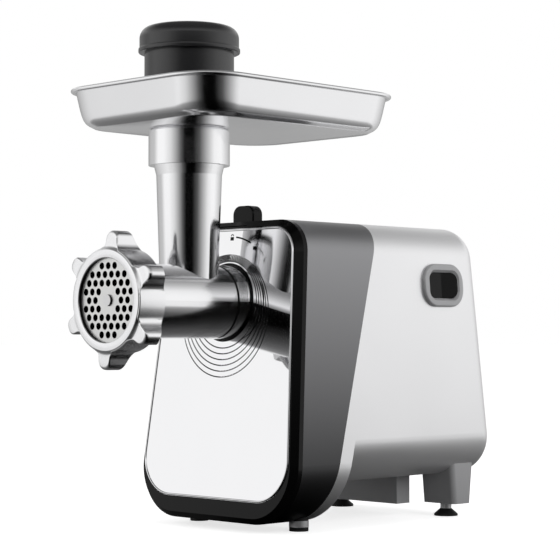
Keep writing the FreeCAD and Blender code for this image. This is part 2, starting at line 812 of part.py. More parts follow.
pin = on_side(cylinder("rocker_pin", "pivot_radius", pin_span, "0", "0", "0"),
              "-rocker_pivot", "-" + pin_span + " / 2", "0", "-90")
keep(fuse("switch_rocker", [rocker, pin]), "switch_rocker")
keep(side_block("switch_block", "switch_opening + 2 * switch_wall",
                "switch_opening_height + 2 * switch_wall",
                "-spigot_length - switch_body_depth", "-spigot_length"), "switch_body")


# Lock button, its latch and its spring

button_outline = [("-button_width / 2", "latch_top"), ("button_width / 2", "latch_top"),
                  ("button_width / 2", "body_top + button_height"),
                  ("-button_width / 2", "body_top + button_height")]
button_block = prism("button_block", "XZ_Plane", button_outline, "button_depth", ("0", "button_front", "0"),
                     [((2, 3), "button_round")])


def button_rim(edge):
    """The edges of the button's two faces that stand above the casing."""
    level = [abs(vertex.Y - value("button_front")) < 1e-4 for vertex in edge.Vertexes]
    far = [abs(vertex.Y - value("button_front + button_depth")) < 1e-4 for vertex in edge.Vertexes]
    low = min(vertex.Z for vertex in edge.Vertexes) < value("latch_top") + 1e-4
    high = max(vertex.Z for vertex in edge.Vertexes) < value("latch_top") + 1e-4
    return (all(level) or all(far)) and not (low and high)


keep(rounded("button_cap", button_block, button_rim, "button_edge"), "lock_button")
latch_plate = box("latch_plate", ("-button_width / 2 - latch_tip", "latch_front",
                                  "latch_top - latch_thickness"),
                  ("button_width / 2 + latch_tip", "button_front + button_depth + latch_tip", "latch_top"))
latch_tongue = box("latch_tongue", ("-latch_width / 2", "latch_front", "latch_low"),
                   ("latch_width / 2", "latch_front + latch_thickness", "latch_top - latch_thickness"))
keep(fuse("lock_latch", [latch_plate, latch_tongue]), "lock_latch")


def coil_spring(radius, wire, turns, height):
    """A round-wire compression spring along +Z, its lowest wire centred on the origin's level."""
    rise = height - 2 * wire
    path = Part.Wire(Part.makeHelix(rise / turns, rise, radius))
    start = path.Vertexes[0].Point
    section = Part.Wire(Part.makeCircle(wire, start, FreeCAD.Vector(0, 1, 0)))
    return path.makePipeShell([section], True, True)


def made(name, shape):
    """A sub-part whose shape is worked out here."""
    piece = doc.addObject("Part::Feature", name)
    piece.Shape = shape
    return piece


spring_height = "latch_top - latch_thickness - case_high - 2 * seat_gap"
spring = made("spring_coil", coil_spring(value("spring_radius"), value("spring_wire"),
                                         value("spring_turns"),
                                         value(spring_height)))
keep(place(spring, "0", "button_centre", "case_high + seat_gap + spring_wire"), "lock_spring")


# Socket for the grinder head

lug_room = "(lug_radius + socket_gap)"
socket_step = "barrel_back - lug_length - seat_gap"
socket_ring = on_axis("socket_ring", [
    ("socket_bore", "front_y - socket_depth"), ("socket_radius", "front_y - socket_depth"),
    ("socket_radius", "case_front - socket_flange_thickness"),
    ("socket_radius + socket_flange", "case_front - socket_flange_thickness"),
    ("socket_radius + socket_flange", "case_front"), (lug_room, "case_front"),
    (lug_room, socket_step), ("socket_bore", socket_step)])
socket_body = common("socket_body", socket_ring,
                     slab("socket_slab", shifted(FRONT, "plate_sheet - plate_proud + seat_gap"), REAR))
entry = prism("lug_entry", "XZ_Plane", rectangle("2 * " + lug_room, "lug_width + 2 * socket_gap"),
              "2 * socket_depth")
place(entry, "0", socket_step + " - 2 * socket_depth", "axis_z", (0, 1, 0), "twist_angle")
latch_slot = box("latch_slot", ("-latch_width / 2 - socket_gap", "latch_front - socket_gap",
                                "axis_z + barrel_collar"),
                 ("latch_width / 2 + socket_gap", "case_front", "body_top"))


def around(name, count, ring_radius, radius, start, length, first):
    """Cylinders along +Y, spread round the output axis."""
    pegs = []
    for index in range(count):
        angle = "({} + {})".format(first, 360 / count * index)
        pegs.append(cylinder("{}_{}".format(name, index), radius, length,
                             "({}) * sin{}".format(ring_radius, angle), start,
                             "axis_z + ({}) * cos{}".format(ring_radius, angle)))
    return pegs


SOCKET_SCREWS = 4
SOCKET_SCREW_ANGLE = "45"
socket_screw_ring = "socket_radius + socket_flange / 2"
socket_screw_holes = around("socket_screw_hole", SOCKET_SCREWS, socket_screw_ring, "screw_radius",
                            "case_front - 2 * socket_flange_thickness",
                            "screw_length + socket_flange_thickness",
                            SOCKET_SCREW_ANGLE)
keep(cut("head_socket", socket_body, [entry, latch_slot] + socket_screw_holes), "head_socket")


# Grinder head

barrel = on_axis("barrel",
                 [("0", "barrel_front"), ("cup_radius", "barrel_front"),
                  ("cup_radius", "barrel_front + cup_length"),
                  ("barrel_radius", "barrel_front + cup_length + cup_slope"),
                  ("barrel_radius", "collar_front - collar_groove"),
                  ("barrel_radius - groove_depth", "collar_front - collar_groove"),
                  ("barrel_radius - groove_depth", "collar_front"), ("barrel_collar", "collar_front"),
                  ("barrel_collar", "barrel_back"), ("0", "barrel_back")])
tube = turned("feed_tube",
              [("0", "axis_z"), ("tube_radius", "axis_z"),
               ("tube_top_radius", "collar_low - flare_height"), ("flare_radius", "collar_low"),
               ("collar_radius", "collar_low"), ("collar_radius", "collar_top - collar_edge"),
               ("collar_radius - collar_edge", "collar_top"), ("0", "collar_top")], "Z",
              ("0", "feed_y", "0"))
lugs = prism("barrel_lugs", "XZ_Plane", rectangle("2 * lug_radius", "lug_width"), "lug_length",
             ("0", "barrel_back - lug_length", "axis_z"))
lug_trim = on_axis("lug_trim",
                   [("0", "barrel_back - lug_length"), ("lug_radius", "barrel_back - lug_length"),
                    ("lug_radius", "barrel_back"), ("0", "barrel_back")])
head_solid = fuse("head_solid", [barrel, tube, common("round_lugs", lugs, lug_trim)])
bush_radius = "(journal_radius + running_gap + bush_wall)"
head_bore = on_axis("head_bore",
                    [("0", "nut_face"), ("cutter_radius + cutter_clear", "nut_face"),
                     ("cutter_radius + cutter_clear", "knife_back"), ("barrel_bore", "knife_back"),
                     ("barrel_bore", "bore_back"), (bush_radius, "bore_back"),
                     (bush_radius, "case_front"), ("0", "case_front")])
feed_bore = turned("feed_bore", [
    ("0", "axis_z"), ("tube_bore", "axis_z"), ("tube_bore", "collar_top - neck_length - neck_gap"),
    ("collar_bore", "collar_top - neck_length - neck_gap"), ("collar_bore", "over + collar_top"),
    ("0", "over + collar_top")], "Z", ("0", "feed_y", "0"))
keep(cut("grinder_head", head_solid, [head_bore, feed_bore]), "grinder_head")
keep(on_axis("journal_bush",
             [("journal_radius + running_gap", "bore_back"), (bush_radius, "bore_back"),
              (bush_radius, "barrel_back"), ("journal_radius + running_gap", "barrel_back")]),
     "auger_bush")


# Ring nut

nut_back = "(nut_face + nut_length)"
nut_drum = on_axis("nut_drum", [("0", "nut_face"), ("nut_radius", "nut_face"), ("nut_radius", nut_back),
                                ("0", nut_back)])
lobes = []
for index in range(int(value("lobe_count"))):
    lobe = prism("nut_lobe_{}".format(index), "XZ_Plane",
                 [("-lobe_root_width / 2", "nut_radius - lobe_round"),
                  ("lobe_root_width / 2", "nut_radius - lobe_round"), ("lobe_tip_width / 2", "lobe_tip"),
                  ("-lobe_tip_width / 2", "lobe_tip")], "nut_length",
                 rounds=[((2, 3), "lobe_round")])
    lobes.append(place(lobe, "0", "nut_face", "axis_z", (0, 1, 0),
                       "nut_clock + {} * 360 / lobe_count".format(index)))
nut_star = fuse("nut_star", [nut_drum] + lobes)


def lobe_foot(edge):
    """The long edges where a lobe rises from the nut's drum."""
    ends = [vertex.Point for vertex in edge.Vertexes]
    reach = [math.hypot(end.x, end.z - value("axis_z")) for end in ends]
    on_drum = all(abs(distance - value("nut_radius")) < 1e-3 for distance in reach)
    return on_drum and len(ends) == 2 and abs(ends[0].y - ends[1].y) > value("nut_length") / 2


nut_blended = rounded("nut_blended", nut_star, lobe_foot, "lobe_blend")
lobe_slope = on_axis("lobe_slope", [
    ("nut_radius", "nut_face + lobe_end"), ("lobe_tip", "nut_face + lobe_land"),
    ("2 * lobe_tip", "nut_face + lobe_land"), ("2 * lobe_tip", nut_back + " + lobe_land"),
    ("nut_radius", nut_back + " + lobe_land")])
lobe_face = on_axis("lobe_face",
                    [("nut_radius - nut_edge", "nut_face - nut_edge"),
                     ("2 * lobe_tip", "nut_face - nut_edge"),
                     ("2 * lobe_tip", "nut_face + lobe_setback + lobe_round"),
                     ("lobe_tip", "nut_face + lobe_setback + lobe_round"),
                     ("lobe_tip - lobe_round", "nut_face + lobe_setback"),
                     ("nut_radius", "nut_face + lobe_setback"),
                     ("nut_radius - nut_edge / 4", "nut_face + nut_edge / 4"),
                     ("nut_radius - nut_edge", "nut_face")])
nut_room = on_axis("nut_room",
                   [("0", "nut_face - nut_edge"), ("nut_opening", "nut_face - nut_edge"),
                    ("nut_opening", "cutter_front - seat_gap"),
                    ("cup_radius + thread_clear", "cutter_front - seat_gap"),
                    ("cup_radius + thread_clear", nut_back + " + lobe_land"),
                    ("0", nut_back + " + lobe_land")])
keep(cut("ring_nut", nut_blended, [lobe_slope, lobe_face, nut_room]), "ring_nut")


# Cutting plate, knife and auger

def mince_holes():
    """Centres of the plate's holes: the points of a triangular grid between two circles."""
    pitch = value("mince_pitch")
    rise = pitch * math.sqrt(3) / 2
    rows = math.ceil(value("mince_outer") / rise)
    centres = []
    for row in range(-rows, rows + 1):
        for column in range(-2 * rows, 2 * rows + 1):
            spot = ((column + row % 2 / 2) * pitch, row * rise)
            if value("mince_inner") < math.hypot(*spot) < value("mince_outer"):
                centres.append(spot)
    return centres


def holed_disc(radius, thickness, holes):
    """A disc across Y with round holes given as (x, z, radius)."""
    across = FreeCAD.Vector(0, 1, 0)
    edge = Part.Wire(Part.makeCircle(radius, FreeCAD.Vector(0, 0, 0), across))
    rings = [Part.Wire(Part.makeCircle(hole, FreeCAD.Vector(x, 0, z), across)) for x, z, hole in holes]
    face = Part.Face(edge)
    for ring in rings:
        face = face.cut(Part.Face(ring))
    return face.extrude(FreeCAD.Vector(0, thickness, 0))


plate_holes = [(x, z, value("mince_hole")) for x, z in mince_holes()]
plate_holes.append((0, 0, value("stud_radius + running_gap")))
cutter = made("cutter_disc", holed_disc(value("cutter_radius"), value("cutter_thickness"), plate_holes))
keep(place(cutter, "0", "cutter_front", "axis_z"), "cutting_plate")

knife_arms = [prism("knife_arm_{}".format(index), "XZ_Plane", rectangle(*sides), "knife_thickness",
                    ("0", "knife_front", "axis_z"))
              for index, sides in enumerate((("2 * knife_reach", "knife_arm"),
                                             ("knife_arm", "2 * knife_reach")))]
knife_hub = cylinder("knife_hub_disc", "knife_hub", "knife_thickness", "0", "knife_front", "axis_z")
knife_trim = cylinder("knife_trim", "knife_reach", "knife_thickness", "0", "knife_front", "axis_z")
knife_hole = prism("knife_hole", "XZ_Plane", rectangle("knife_square", "knife_square"),
                   "3 * knife_thickness",
                   ("0", "knife_front - knife_thickness", "axis_z"))
knife_cross = common("knife_cross", fuse("knife_star", knife_arms + [knife_hub]), knife_trim)
keep(cut("knife_body", knife_cross, [knife_hole]), "knife")


def hexagon(flats):
    """Corners of a hexagon, by its width across flats."""
    corner = "({}) / 2 / cos(30)".format(flats)
    return [("{} * cos({})".format(corner, 60 * step), "{} * sin({})".format(corner, 60 * step))
            for step in range(6)]


def screw_flight(radius, core, pitch, thickness, length):
    """A screw blade round +Z from inside the core out to its radius."""
    path = Part.Wire(Part.makeHelix(pitch, length - thickness, radius))
    inner = core - thickness / 2
    corners = [FreeCAD.Vector(inner, 0, -thickness / 2), FreeCAD.Vector(radius, 0, -thickness / 4),
               FreeCAD.Vector(radius, 0, thickness / 4), FreeCAD.Vector(inner, 0, thickness / 2)]
    section = Part.makePolygon(corners + corners[:1])
    return path.makePipeShell([section], True, True)


flight_span = "bore_back - knife_back - 2 * auger_clear"
flight = made("screw_blade", screw_flight(value("flight_radius"), value("auger_core"), value("auger_pitch"),
                                          value("auger_flight"), value(flight_span)))
place(flight, "0", "knife_back + auger_clear + auger_flight / 2", "axis_z", (1, 0, 0), "-90")
auger_core = on_axis("auger_shaft", [
    ("0", "knife_back"), ("auger_core", "knife_back"), ("auger_core", "bore_back - auger_clear"),
    ("journal_radius", "bore_back - auger_clear"), ("journal_radius", "barrel_back"), ("0", "barrel_back")])
auger_stud = cylinder("auger_stud", "stud_radius", "knife_back - cutter_front + nut_lip / 2", "0",
                      "cutter_front - nut_lip / 2", "axis_z")
auger_square = prism("auger_square", "XZ_Plane", rectangle("knife_square", "knife_square"),
                     "knife_thickness",
                     ("0", "knife_front", "axis_z"))
auger_hex = prism("auger_hex", "XZ_Plane", hexagon("hex_flats"), "hex_length",
                  ("0", "barrel_back", "axis_z"))
keep(fuse("auger_body", [auger_core, flight, auger_stud, auger_square, auger_hex]), "auger")


# Tray and pusher

def rounded_rectangle(half, front, back, radius, level):
    """A closed level wire with round corners."""
    corners = ((half - radius, back - radius, 0), (radius - half, back - radius, 90),
               (radius - half, front + radius, 180), (half - radius, front + radius, 270))
    arcs = []
    for x, y, start in corners:
        spots = [FreeCAD.Vector(x + radius * math.cos(math.radians(start + turn)),
                                y + radius * math.sin(math.radians(start + turn)), level)
                 for turn in (0, 45, 90)]
        arcs.append(Part.Arc(*spots).toShape())
    edges = []
    for index, arc in enumerate(arcs):
        following = arcs[(index + 1) % len(arcs)]
        edges.append(arc)
        edges.append(Part.makeLine(arc.Vertexes[-1].Point, following.Vertexes[0].Point))
    return Part.Wire(edges)


BELLY_STEPS = 4


def dish(sheet_inset, lift, top):
    """The tray's bowl: a loft from a ring at its neck, over a rounded belly, to the heel and the rim.

    The sections are drawn in by an inset and raised by a lift."""
    def outline(inset):
        """Half width, front, back and corner radius of the tray's outline, drawn in."""
        step = value(inset) + sheet_inset
        return (value("tray_half_width") - step, value("tray_front") + step,
                value("tray_front + tray_length") - step,
                value("tray_corner") - step * value("corner_shrink"))

    def wire(section, rise):
        return rounded_rectangle(*section, value("tray_floor + " + rise) + lift)

    ring_radius = value("dish_neck") - sheet_inset
    ring = (ring_radius, value("feed_y") - ring_radius, value("feed_y") + ring_radius,
            ring_radius - value("tray_sheet"))
    heel = outline("dish_heel")
    wires = []
    for step in range(BELLY_STEPS + 1):
        share = step / BELLY_STEPS
        section = [near + share * (far - near) for near, far in zip(ring, heel)]
        wires.append(wire(section, "dish_heel_rise * {}".format(share ** value("belly_curve"))))
    wires.append(wire(outline("heel_bend"), "heel_bend_rise"))
    wires.append(wire(outline("wall_foot"), "wall_foot_rise"))
    wires.append(wire(outline("rim_flange"), "tray_depth + " + top))
    return Part.makeLoft(wires, True, True)


dish_outer = made("dish_outer", dish(0, 0, "0"))
dish_room = made("dish_room", dish(value("tray_sheet"), value("tray_sheet"), "tray_sheet"))


def rim_block(name, inset, low, high):
    """A rounded level block of the tray's outline, drawn in by an inset."""
    half = "tray_half_width - {}".format(inset)
    front = "tray_front + {}".format(inset)
    back = "tray_front + tray_length - {}".format(inset)
    outline = [("-({})".format(half), front), (half, front), (half, back), ("-({})".format(half), back)]
    return prism(name, "XY_Plane", outline, "({}) - ({})".format(high, low), ("0", "0", low),
                 [((0, 1, 2, 3), "tray_corner - {}".format(inset))])


rim = rim_block("rim_plate", "0", "tray_rim - tray_sheet", "tray_rim")
neck = cylinder("tray_neck", "neck_radius", "neck_length + tray_sheet", "0", "feed_y",
                "tray_floor - neck_length", "Z")
neck_hole = cylinder("neck_hole", "neck_bore", "neck_length + tray_depth", "0", "feed_y",
                     "tray_floor - neck_length - tray_sheet", "Z")
keep(cut("tray", fuse("tray_solid", [dish_outer, rim, neck]), [dish_room, neck_hole]), "tray")

keep(turned("pusher_tube",
            [("0", "plunger_low"), ("plunger_radius", "plunger_low"), ("plunger_radius", "pusher_low"),
             ("pusher_radius", "pusher_low"), ("pusher_radius", "cap_low"),
             ("pusher_radius - pusher_wall", "cap_low"),
             ("pusher_radius - pusher_wall", "pusher_low + pusher_wall"),
             ("plunger_radius - pusher_wall", "pusher_low + pusher_wall"),
             ("plunger_radius - pusher_wall", "plunger_low + pusher_wall"),
             ("0", "plunger_low + pusher_wall")], "Z", ("0", "feed_y", "0")), "pusher_body")
keep(turned("pusher_lid",
            [("0", "cap_low"), ("cap_radius + cap_rim_proud", "cap_low"),
             ("cap_radius + cap_rim_proud", "cap_low + cap_rim"), ("cap_radius", "cap_low + cap_rim"),
             ("cap_radius", "cap_top - cap_round"),
             ("cap_radius - cap_round * (1 - cos(45))", "cap_top - cap_round * (1 - sin(45))"),
             ("cap_radius - cap_round", "cap_top"), ("0", "cap_top")], "Z",
            ("0", "feed_y", "0")), "pusher_cap")


# Gears

def gear_shape(module, teeth, face, bore, direction, gap_first):
    """A spur gear across Y with stub involute teeth.

    direction is the angle, from +X towards +Z, of its mate's centre: a tooth points there,
    or with gap_first the space between two teeth."""
    pitch = module * teeth / 2
    pressure = math.radians(value("tooth_angle"))
    base = pitch * math.cos(pressure)
    tip = pitch + value("tooth_tip") * module
    root = pitch - value("tooth_root") * module
    foot = max(base, root)

    def involute(angle):
        return math.tan(angle) - angle

    def half_width(radius):
        half_pitch = math.pi / (2 * teeth) - value("backlash") / (4 * pitch)
        return half_pitch + involute(pressure) - involute(math.acos(min(1, base / radius)))

    def spot(radius, angle):
        return FreeCAD.Vector(radius * math.cos(angle), 0, radius * math.sin(angle))

    step = 2 * math.pi / teeth
    first = math.radians(direction) + (step / 2 if gap_first else 0)
    middle = (foot + tip) / 2
    edges = []
    for tooth in range(int(teeth)):
        centre = first + tooth * step
        sides = [[spot(radius, centre + side * half_width(radius)) for radius in (foot, middle, tip)]
                 for side in (-1, 1)]
        root_start = spot(root, centre + half_width(foot))
        root_end = spot(root, centre + step - half_width(foot))
        next_foot = spot(foot, centre + step - half_width(foot))
        edges.append(Part.Arc(*sides[0]).toShape())
        edges.append(Part.Arc(sides[0][2], spot(tip, centre), sides[1][2]).toShape())
        edges.append(Part.Arc(*reversed(sides[1])).toShape())
        if foot > root:
            edges.append(Part.makeLine(sides[1][0], root_start))
        edges.append(Part.Arc(root_start, spot(root, centre + step / 2), root_end).toShape())
        if foot > root:
            edges.append(Part.makeLine(root_end, next_foot))
    outline = Part.Face(Part.Wire(edges))
    hole = Part.Face(Part.Wire(Part.makeCircle(bore, FreeCAD.Vector(0, 0, 0), FreeCAD.Vector(0, 1, 0))))
    return outline.cut(hole).extrude(FreeCAD.Vector(0, face, 0))


MOTOR_SHAFT = ("motor_x", "motor_z")
FIRST_SHAFT = ("first_x", "first_z")
SECOND_SHAFT = ("second_x", "second_z")
OUTPUT_SHAFT = ("0", "axis_z")


def gear(label, shaft, mate, module, teeth, bore, front, face, gap_first):
    """A gear on its shaft, with a tooth or a gap towards the shaft of its mate."""
    across, up = [value(far) - value(near) for near, far in zip(shaft, mate)]
    direction = math.degrees(math.atan2(up, across))
    shape = gear_shape(value(module), value(teeth), value(face), value(bore), direction, gap_first)
    return keep(place(made(label + "_teeth", shape), shaft[0], front, shaft[1]), label)


first_bore = "first_axle_radius + running_gap"
second_bore = "second_axle_radius + running_gap"
gear("motor_pinion", MOTOR_SHAFT, FIRST_SHAFT, "first_module", "pinion_teeth", "shaft_nose",
     "first_front", "first_face", False)
gear("first_gear", FIRST_SHAFT, MOTOR_SHAFT, "first_module", "first_teeth", first_bore,
     "first_front", "first_face", True)
gear("first_pinion", FIRST_SHAFT, SECOND_SHAFT, "second_module", "pinion_teeth", first_bore,
     "second_front", "first_front - second_front", False)
gear("second_gear", SECOND_SHAFT, FIRST_SHAFT, "second_module", "second_teeth", second_bore,
     "second_front", "second_face", True)
gear("second_pinion", SECOND_SHAFT, OUTPUT_SHAFT, "third_module", "pinion_teeth", second_bore,
     "third_front", "second_front - third_front", False)
gear("output_gear", OUTPUT_SHAFT, SECOND_SHAFT, "third_module", "third_teeth", "drive_radius",
     "third_front", "third_face", True)

axle_span = "cover_back - case_front"
for label, radius, x, z in (("first_axle", "first_axle_radius", "first_x", "first_z"),
                            ("second_axle", "second_axle_radius", "second_x", "second_z")):
    keep(cylinder(label + "_rod", radius, axle_span, x, "case_front", z), label)
output_bush = "(drive_radius + running_gap + bush_wall)"
tail_bush = "(drive_tail + running_gap + bush_wall)"
drive = on_axis("drive_rod",
                [("0", "case_front"), ("drive_radius", "case_front"), ("drive_radius", "third_back"),
                 ("drive_tail", "third_back"), ("drive_tail", "cover_back"), ("0", "cover_back")])
hex_room = prism("hex_room", "XZ_Plane", hexagon("hex_flats + 2 * hex_clear"), "hex_length + hex_clear",
                 ("0", "barrel_back", "axis_z"))
keep(cut("drive_body", drive, [hex_room]), "drive_shaft")
for label, radius, bore, front, back in (
        ("front_bush", output_bush, "drive_radius + running_gap", "case_front", "third_front - seat_gap"),
        ("rear_bush", tail_bush, "drive_tail + running_gap", "cover_front", "cover_back")):
    keep(on_axis(label + "_ring", [(bore, front), (radius, front), (radius, back), (bore, back)]), label)


# Gearbox case and cover

case_outline = [("case_left", "case_low"), ("case_right", "case_low"),
                ("case_right", "case_high"), ("case_left", "case_high")]
case_inside = [("case_left + case_wall", "case_low + case_wall"),
               ("case_right - case_wall", "case_low + case_wall"),
               ("case_right - case_wall", "case_high - case_wall"),
               ("case_left + case_wall", "case_high - case_wall")]
case_span = "cover_front - case_front"
case_block = prism("case_block", "XZ_Plane", case_outline, case_span, ("0", "case_front", "0"),
                   [((0, 1, 2, 3), "case_round")])
case_room = prism("case_room", "XZ_Plane", case_inside, case_span, ("0", "case_front + case_wall", "0"),
                  [((0, 1, 2, 3), "case_round - case_wall")])


def bores(name, output_radius):
    """Holes for the axles and the output shaft right through the gearbox."""
    return [cylinder(name + "_output", output_radius, "2 * head_reach", "0", "nut_face", "axis_z"),
            cylinder(name + "_first", "first_axle_radius", "2 * head_reach", "first_x", "nut_face",
                     "first_z"),
            cylinder(name + "_second", "second_axle_radius", "2 * head_reach", "second_x", "nut_face",
                     "second_z")]


COVER_CORNERS = (("case_left + case_wall", "case_low + case_wall"),
                 ("case_right - case_wall", "case_low + case_wall"),
                 ("case_right - case_wall", "case_high - case_wall"),
                 ("case_left + case_wall", "case_high - case_wall"))


def corner_pegs(name, radius, start, length):
    """Cylinders along +Y at the gearbox's four corners."""
    return [cylinder("{}_{}".format(name, index), radius, length, x, start, z)
            for index, (x, z) in enumerate(COVER_CORNERS)]


def bolt_pegs(name, radius, start, length):
    """Cylinders along +Y where the motor's two long bolts run."""
    reach = "(stator_half - bolt_inset)"
    return [cylinder("{}_{}".format(name, index), radius, length, "motor_x {} {}".format(sign, reach),
                     start,
                     "motor_z + " + reach) for index, sign in enumerate("-+")]


boss_back = "cover_front - screw_length"
boss_pegs = corner_pegs("boss_peg", "case_round / 2 + screw_radius", "case_front", case_span)
bosses = [common("screw_boss_{}".format(index), peg, case_block) for index, peg in enumerate(boss_pegs)]
case_shell = fuse("case_shell", [cut("case_hollow", case_block, [case_room])] + bosses)
keep(cut("gearbox_case", case_shell, bores("case", output_bush)
         + corner_pegs("case_screw_hole", "screw_radius", boss_back + " + cover_thickness", "screw_length")
         + socket_screw_holes), "gearbox_case")
cover_plate = prism("cover_plate", "XZ_Plane", case_outline, "cover_thickness", ("0", "cover_front", "0"),
                    [((0, 1, 2, 3), "case_round")])
bearing_hole = cylinder("bearing_hole", "bearing_radius", "inlet_y - nut_face", "motor_x", "nut_face",
                        "motor_z")
bearing_boss = cylinder("bearing_boss", "bearing_radius + case_wall", "bearing_width", "motor_x",
                        "cover_front", "motor_z")
keep(cut("gearbox_cover", fuse("cover_solid", [cover_plate, bearing_boss]),
         bores("cover", tail_bush) + [bearing_hole]
         + corner_pegs("cover_screw_hole", "screw_radius", "case_front", "2 * head_reach")
         + bolt_pegs("cover_bolt_hole", "bolt_radius", "case_front", "2 * head_reach")), "gearbox_cover")


def screws(label, shanks, heads):
    """A group of separate screws, each a shank with its head."""
    pairs = [fuse("{}_screw_{}".format(label, index), list(pair))
             for index, pair in enumerate(zip(shanks, heads))]
    group = doc.addObject("Part::Compound", label + "_group")
    group.Links = pairs
    return keep(group, label)


screws("cover_screws", corner_pegs("cover_shank", "screw_radius", boss_back + " + cover_thickness",
                                   "screw_length"),
       corner_pegs("cover_head", "screw_head", "cover_back", "screw_head_height"))
screws("socket_screws",
       around("socket_shank", SOCKET_SCREWS, socket_screw_ring, "screw_radius",
              "case_front - socket_flange_thickness", "case_wall + socket_flange_thickness",
              SOCKET_SCREW_ANGLE),
       around("socket_head", SOCKET_SCREWS, socket_screw_ring, "screw_head",
              "case_front - socket_flange_thickness - screw_head_height", "screw_head_height",
              SOCKET_SCREW_ANGLE))


# Motor

def on_motor(name, points):
    """A solid of revolution about the motor's axis."""
    return turned(name, points, "Y", ("motor_x", "0", "motor_z"))


def ring(name, bore, radius, front, back):
    return on_motor(name, [(bore, front), (radius, front), (radius, back), (bore, back)])


keep(on_motor("armature_rod",
              [("0", "first_front"), ("shaft_nose", "first_front"), ("shaft_nose", "first_back"),
               ("shaft_radius", "first_back"), ("shaft_radius", "bracket_back"), ("0", "bracket_back")]),
     "rotor_shaft")
keep(ring("front_race", "shaft_radius + running_gap", "bearing_radius", "cover_front", "bearing_back"),
     "front_bearing")
keep(ring("rear_race", "shaft_radius + running_gap", "bearing_radius", "bracket_front", "bracket_back"),
     "rear_bearing")
keep(ring("copper_drum", "shaft_radius", "commutator_radius", "commutator_front", "commutator_back"),
     "commutator")


def spokes(name, count, inner, outer, thickness, front, back):
    """Radial blocks round the motor's axis."""
    blocks = []
    for index in range(int(value(count))):
        block = prism("{}_{}".format(name, index), "XZ_Plane",
                      [("-{} / 2".format(thickness), inner), ("{} / 2".format(thickness), inner),
                       ("{} / 2".format(thickness), outer), ("-{} / 2".format(thickness), outer)],
                      "({}) - ({})".format(back, front))
        blocks.append(place(block, "motor_x", front, "motor_z", (0, 1, 0),
                            "{} * 360 / {}".format(index, count)))
    return blocks


fan_disc = ring("fan_disc", "shaft_radius", "fan_radius", "fan_back - fan_plate", "fan_back")
fan_core = ring("fan_core", "shaft_radius", "fan_hub", "fan_front", "fan_back")
keep(fuse("fan_wheel",
          [fan_disc, fan_core] + spokes("fan_vane", "fan_blades", "fan_hub - fan_plate", "fan_radius",
                                        "fan_blade", "fan_front", "fan_back - fan_plate")),
     "motor_fan")
rotor_stack = ring("rotor_stack", "shaft_radius", "rotor_radius", "stator_front", "stator_back")
rotor_slots = spokes("rotor_slot", "rotor_slots", "rotor_radius - slot_depth", "2 * rotor_radius",
                     "slot_width",
                     "stator_front - fan_plate", "stator_back + fan_plate")
keep(cut("rotor_core_body", rotor_stack, rotor_slots), "rotor_core")

stator_block = prism("stator_block", "XZ_Plane", rectangle("2 * stator_half", "2 * stator_half"),
                     "stator_length",
                     ("motor_x", "stator_front", "motor_z"), [((0, 1, 2, 3), "stator_round")])
stator_tunnel = cylinder("stator_tunnel", "stator_bore", "4 * stator_length", "motor_x", "case_front",
                         "motor_z")


def motor_box(name, low, high):
    """A box whose x and z are measured from the motor's axis."""
    return box(name, ("motor_x + " + low[0], low[1], "motor_z + " + low[2]),
               ("motor_x + " + high[0], high[1], "motor_z + " + high[2]))


window_top = "(stator_half - yoke)"
windows = [motor_box("stator_window_{}".format(index), (low, "case_front", "-" + window_top),
                     (high, "inlet_y", window_top))
           for index, (low, high) in enumerate((("-" + window_top, "-pole_half"),
                                                ("pole_half", window_top)))]
keep(cut("stator_body", stator_block, [stator_tunnel] + windows
         + bolt_pegs("stator_bolt_hole", "bolt_radius", "case_front", "2 * head_reach")), "stator_core")


def field_coil(name, low, high):
    """A wound coil round one pole of the stator, its ends standing out at both faces."""
    outer = motor_box(name + "_outer", ("-pole_half - coil_width", "stator_front - coil_overhang", low),
                      ("pole_half + coil_width", "stator_back + coil_overhang", high))
    inner = motor_box(name + "_inner", ("-pole_half - coil_clear", "stator_front - coil_clear", low),
                      ("pole_half + coil_clear", "stator_back + coil_clear", high))
    return cut(name + "_winding", outer, [inner])


coil_low = "(stator_half - yoke - coil_height)"
coil_high = "(stator_half - yoke - coil_clear)"
keep(field_coil("field_coil_upper", coil_low, coil_high), "field_coil_upper")
keep(field_coil("field_coil_lower", "-" + coil_high, "-" + coil_low), "field_coil_lower")

bracket_plate = motor_box("bracket_plate", ("-stator_half", "bracket_front", "rear_floor - motor_z"),
                          ("stator_half", "bracket_back", "stator_half"))
keep(cut("motor_bracket_body", bracket_plate,
         [bearing_hole] + bolt_pegs("bracket_bolt_hole", "bolt_radius", "case_front", "2 * head_reach")),
     "motor_bracket")


def brush(name, sign):
    """A carbon brush that bears on the commutator, across X."""
    near = "commutator_radius + seat_gap"
    far = near + " + brush_length"
    ends = ("-({})".format(far), "-({})".format(near)) if sign else (near, far)
    middle = "(commutator_front + commutator_back) / 2"
    return motor_box(name + "_block", (ends[0], middle + " - brush_depth / 2", "-brush_width / 2"),
                     (ends[1], middle + " + brush_depth / 2", "brush_width / 2"))


def brush_holder(name, sign):
    """A brush's box, carried by the motor bracket."""
    near = "commutator_radius + seat_gap + brush_case"
    far = "commutator_radius + seat_gap + brush_length + brush_case"
    ends = ("-({})".format(far), "-({})".format(near)) if sign else (near, far)
    middle = "(commutator_front + commutator_back) / 2"
    block = motor_box(name + "_block", (ends[0], middle + " - brush_depth / 2 - brush_case",
                                        "-brush_width / 2 - brush_case"),
                      (ends[1], "bracket_front", "brush_width / 2 + brush_case"))
    return cut(name + "_case", block, [brush(name + "_room", sign)])


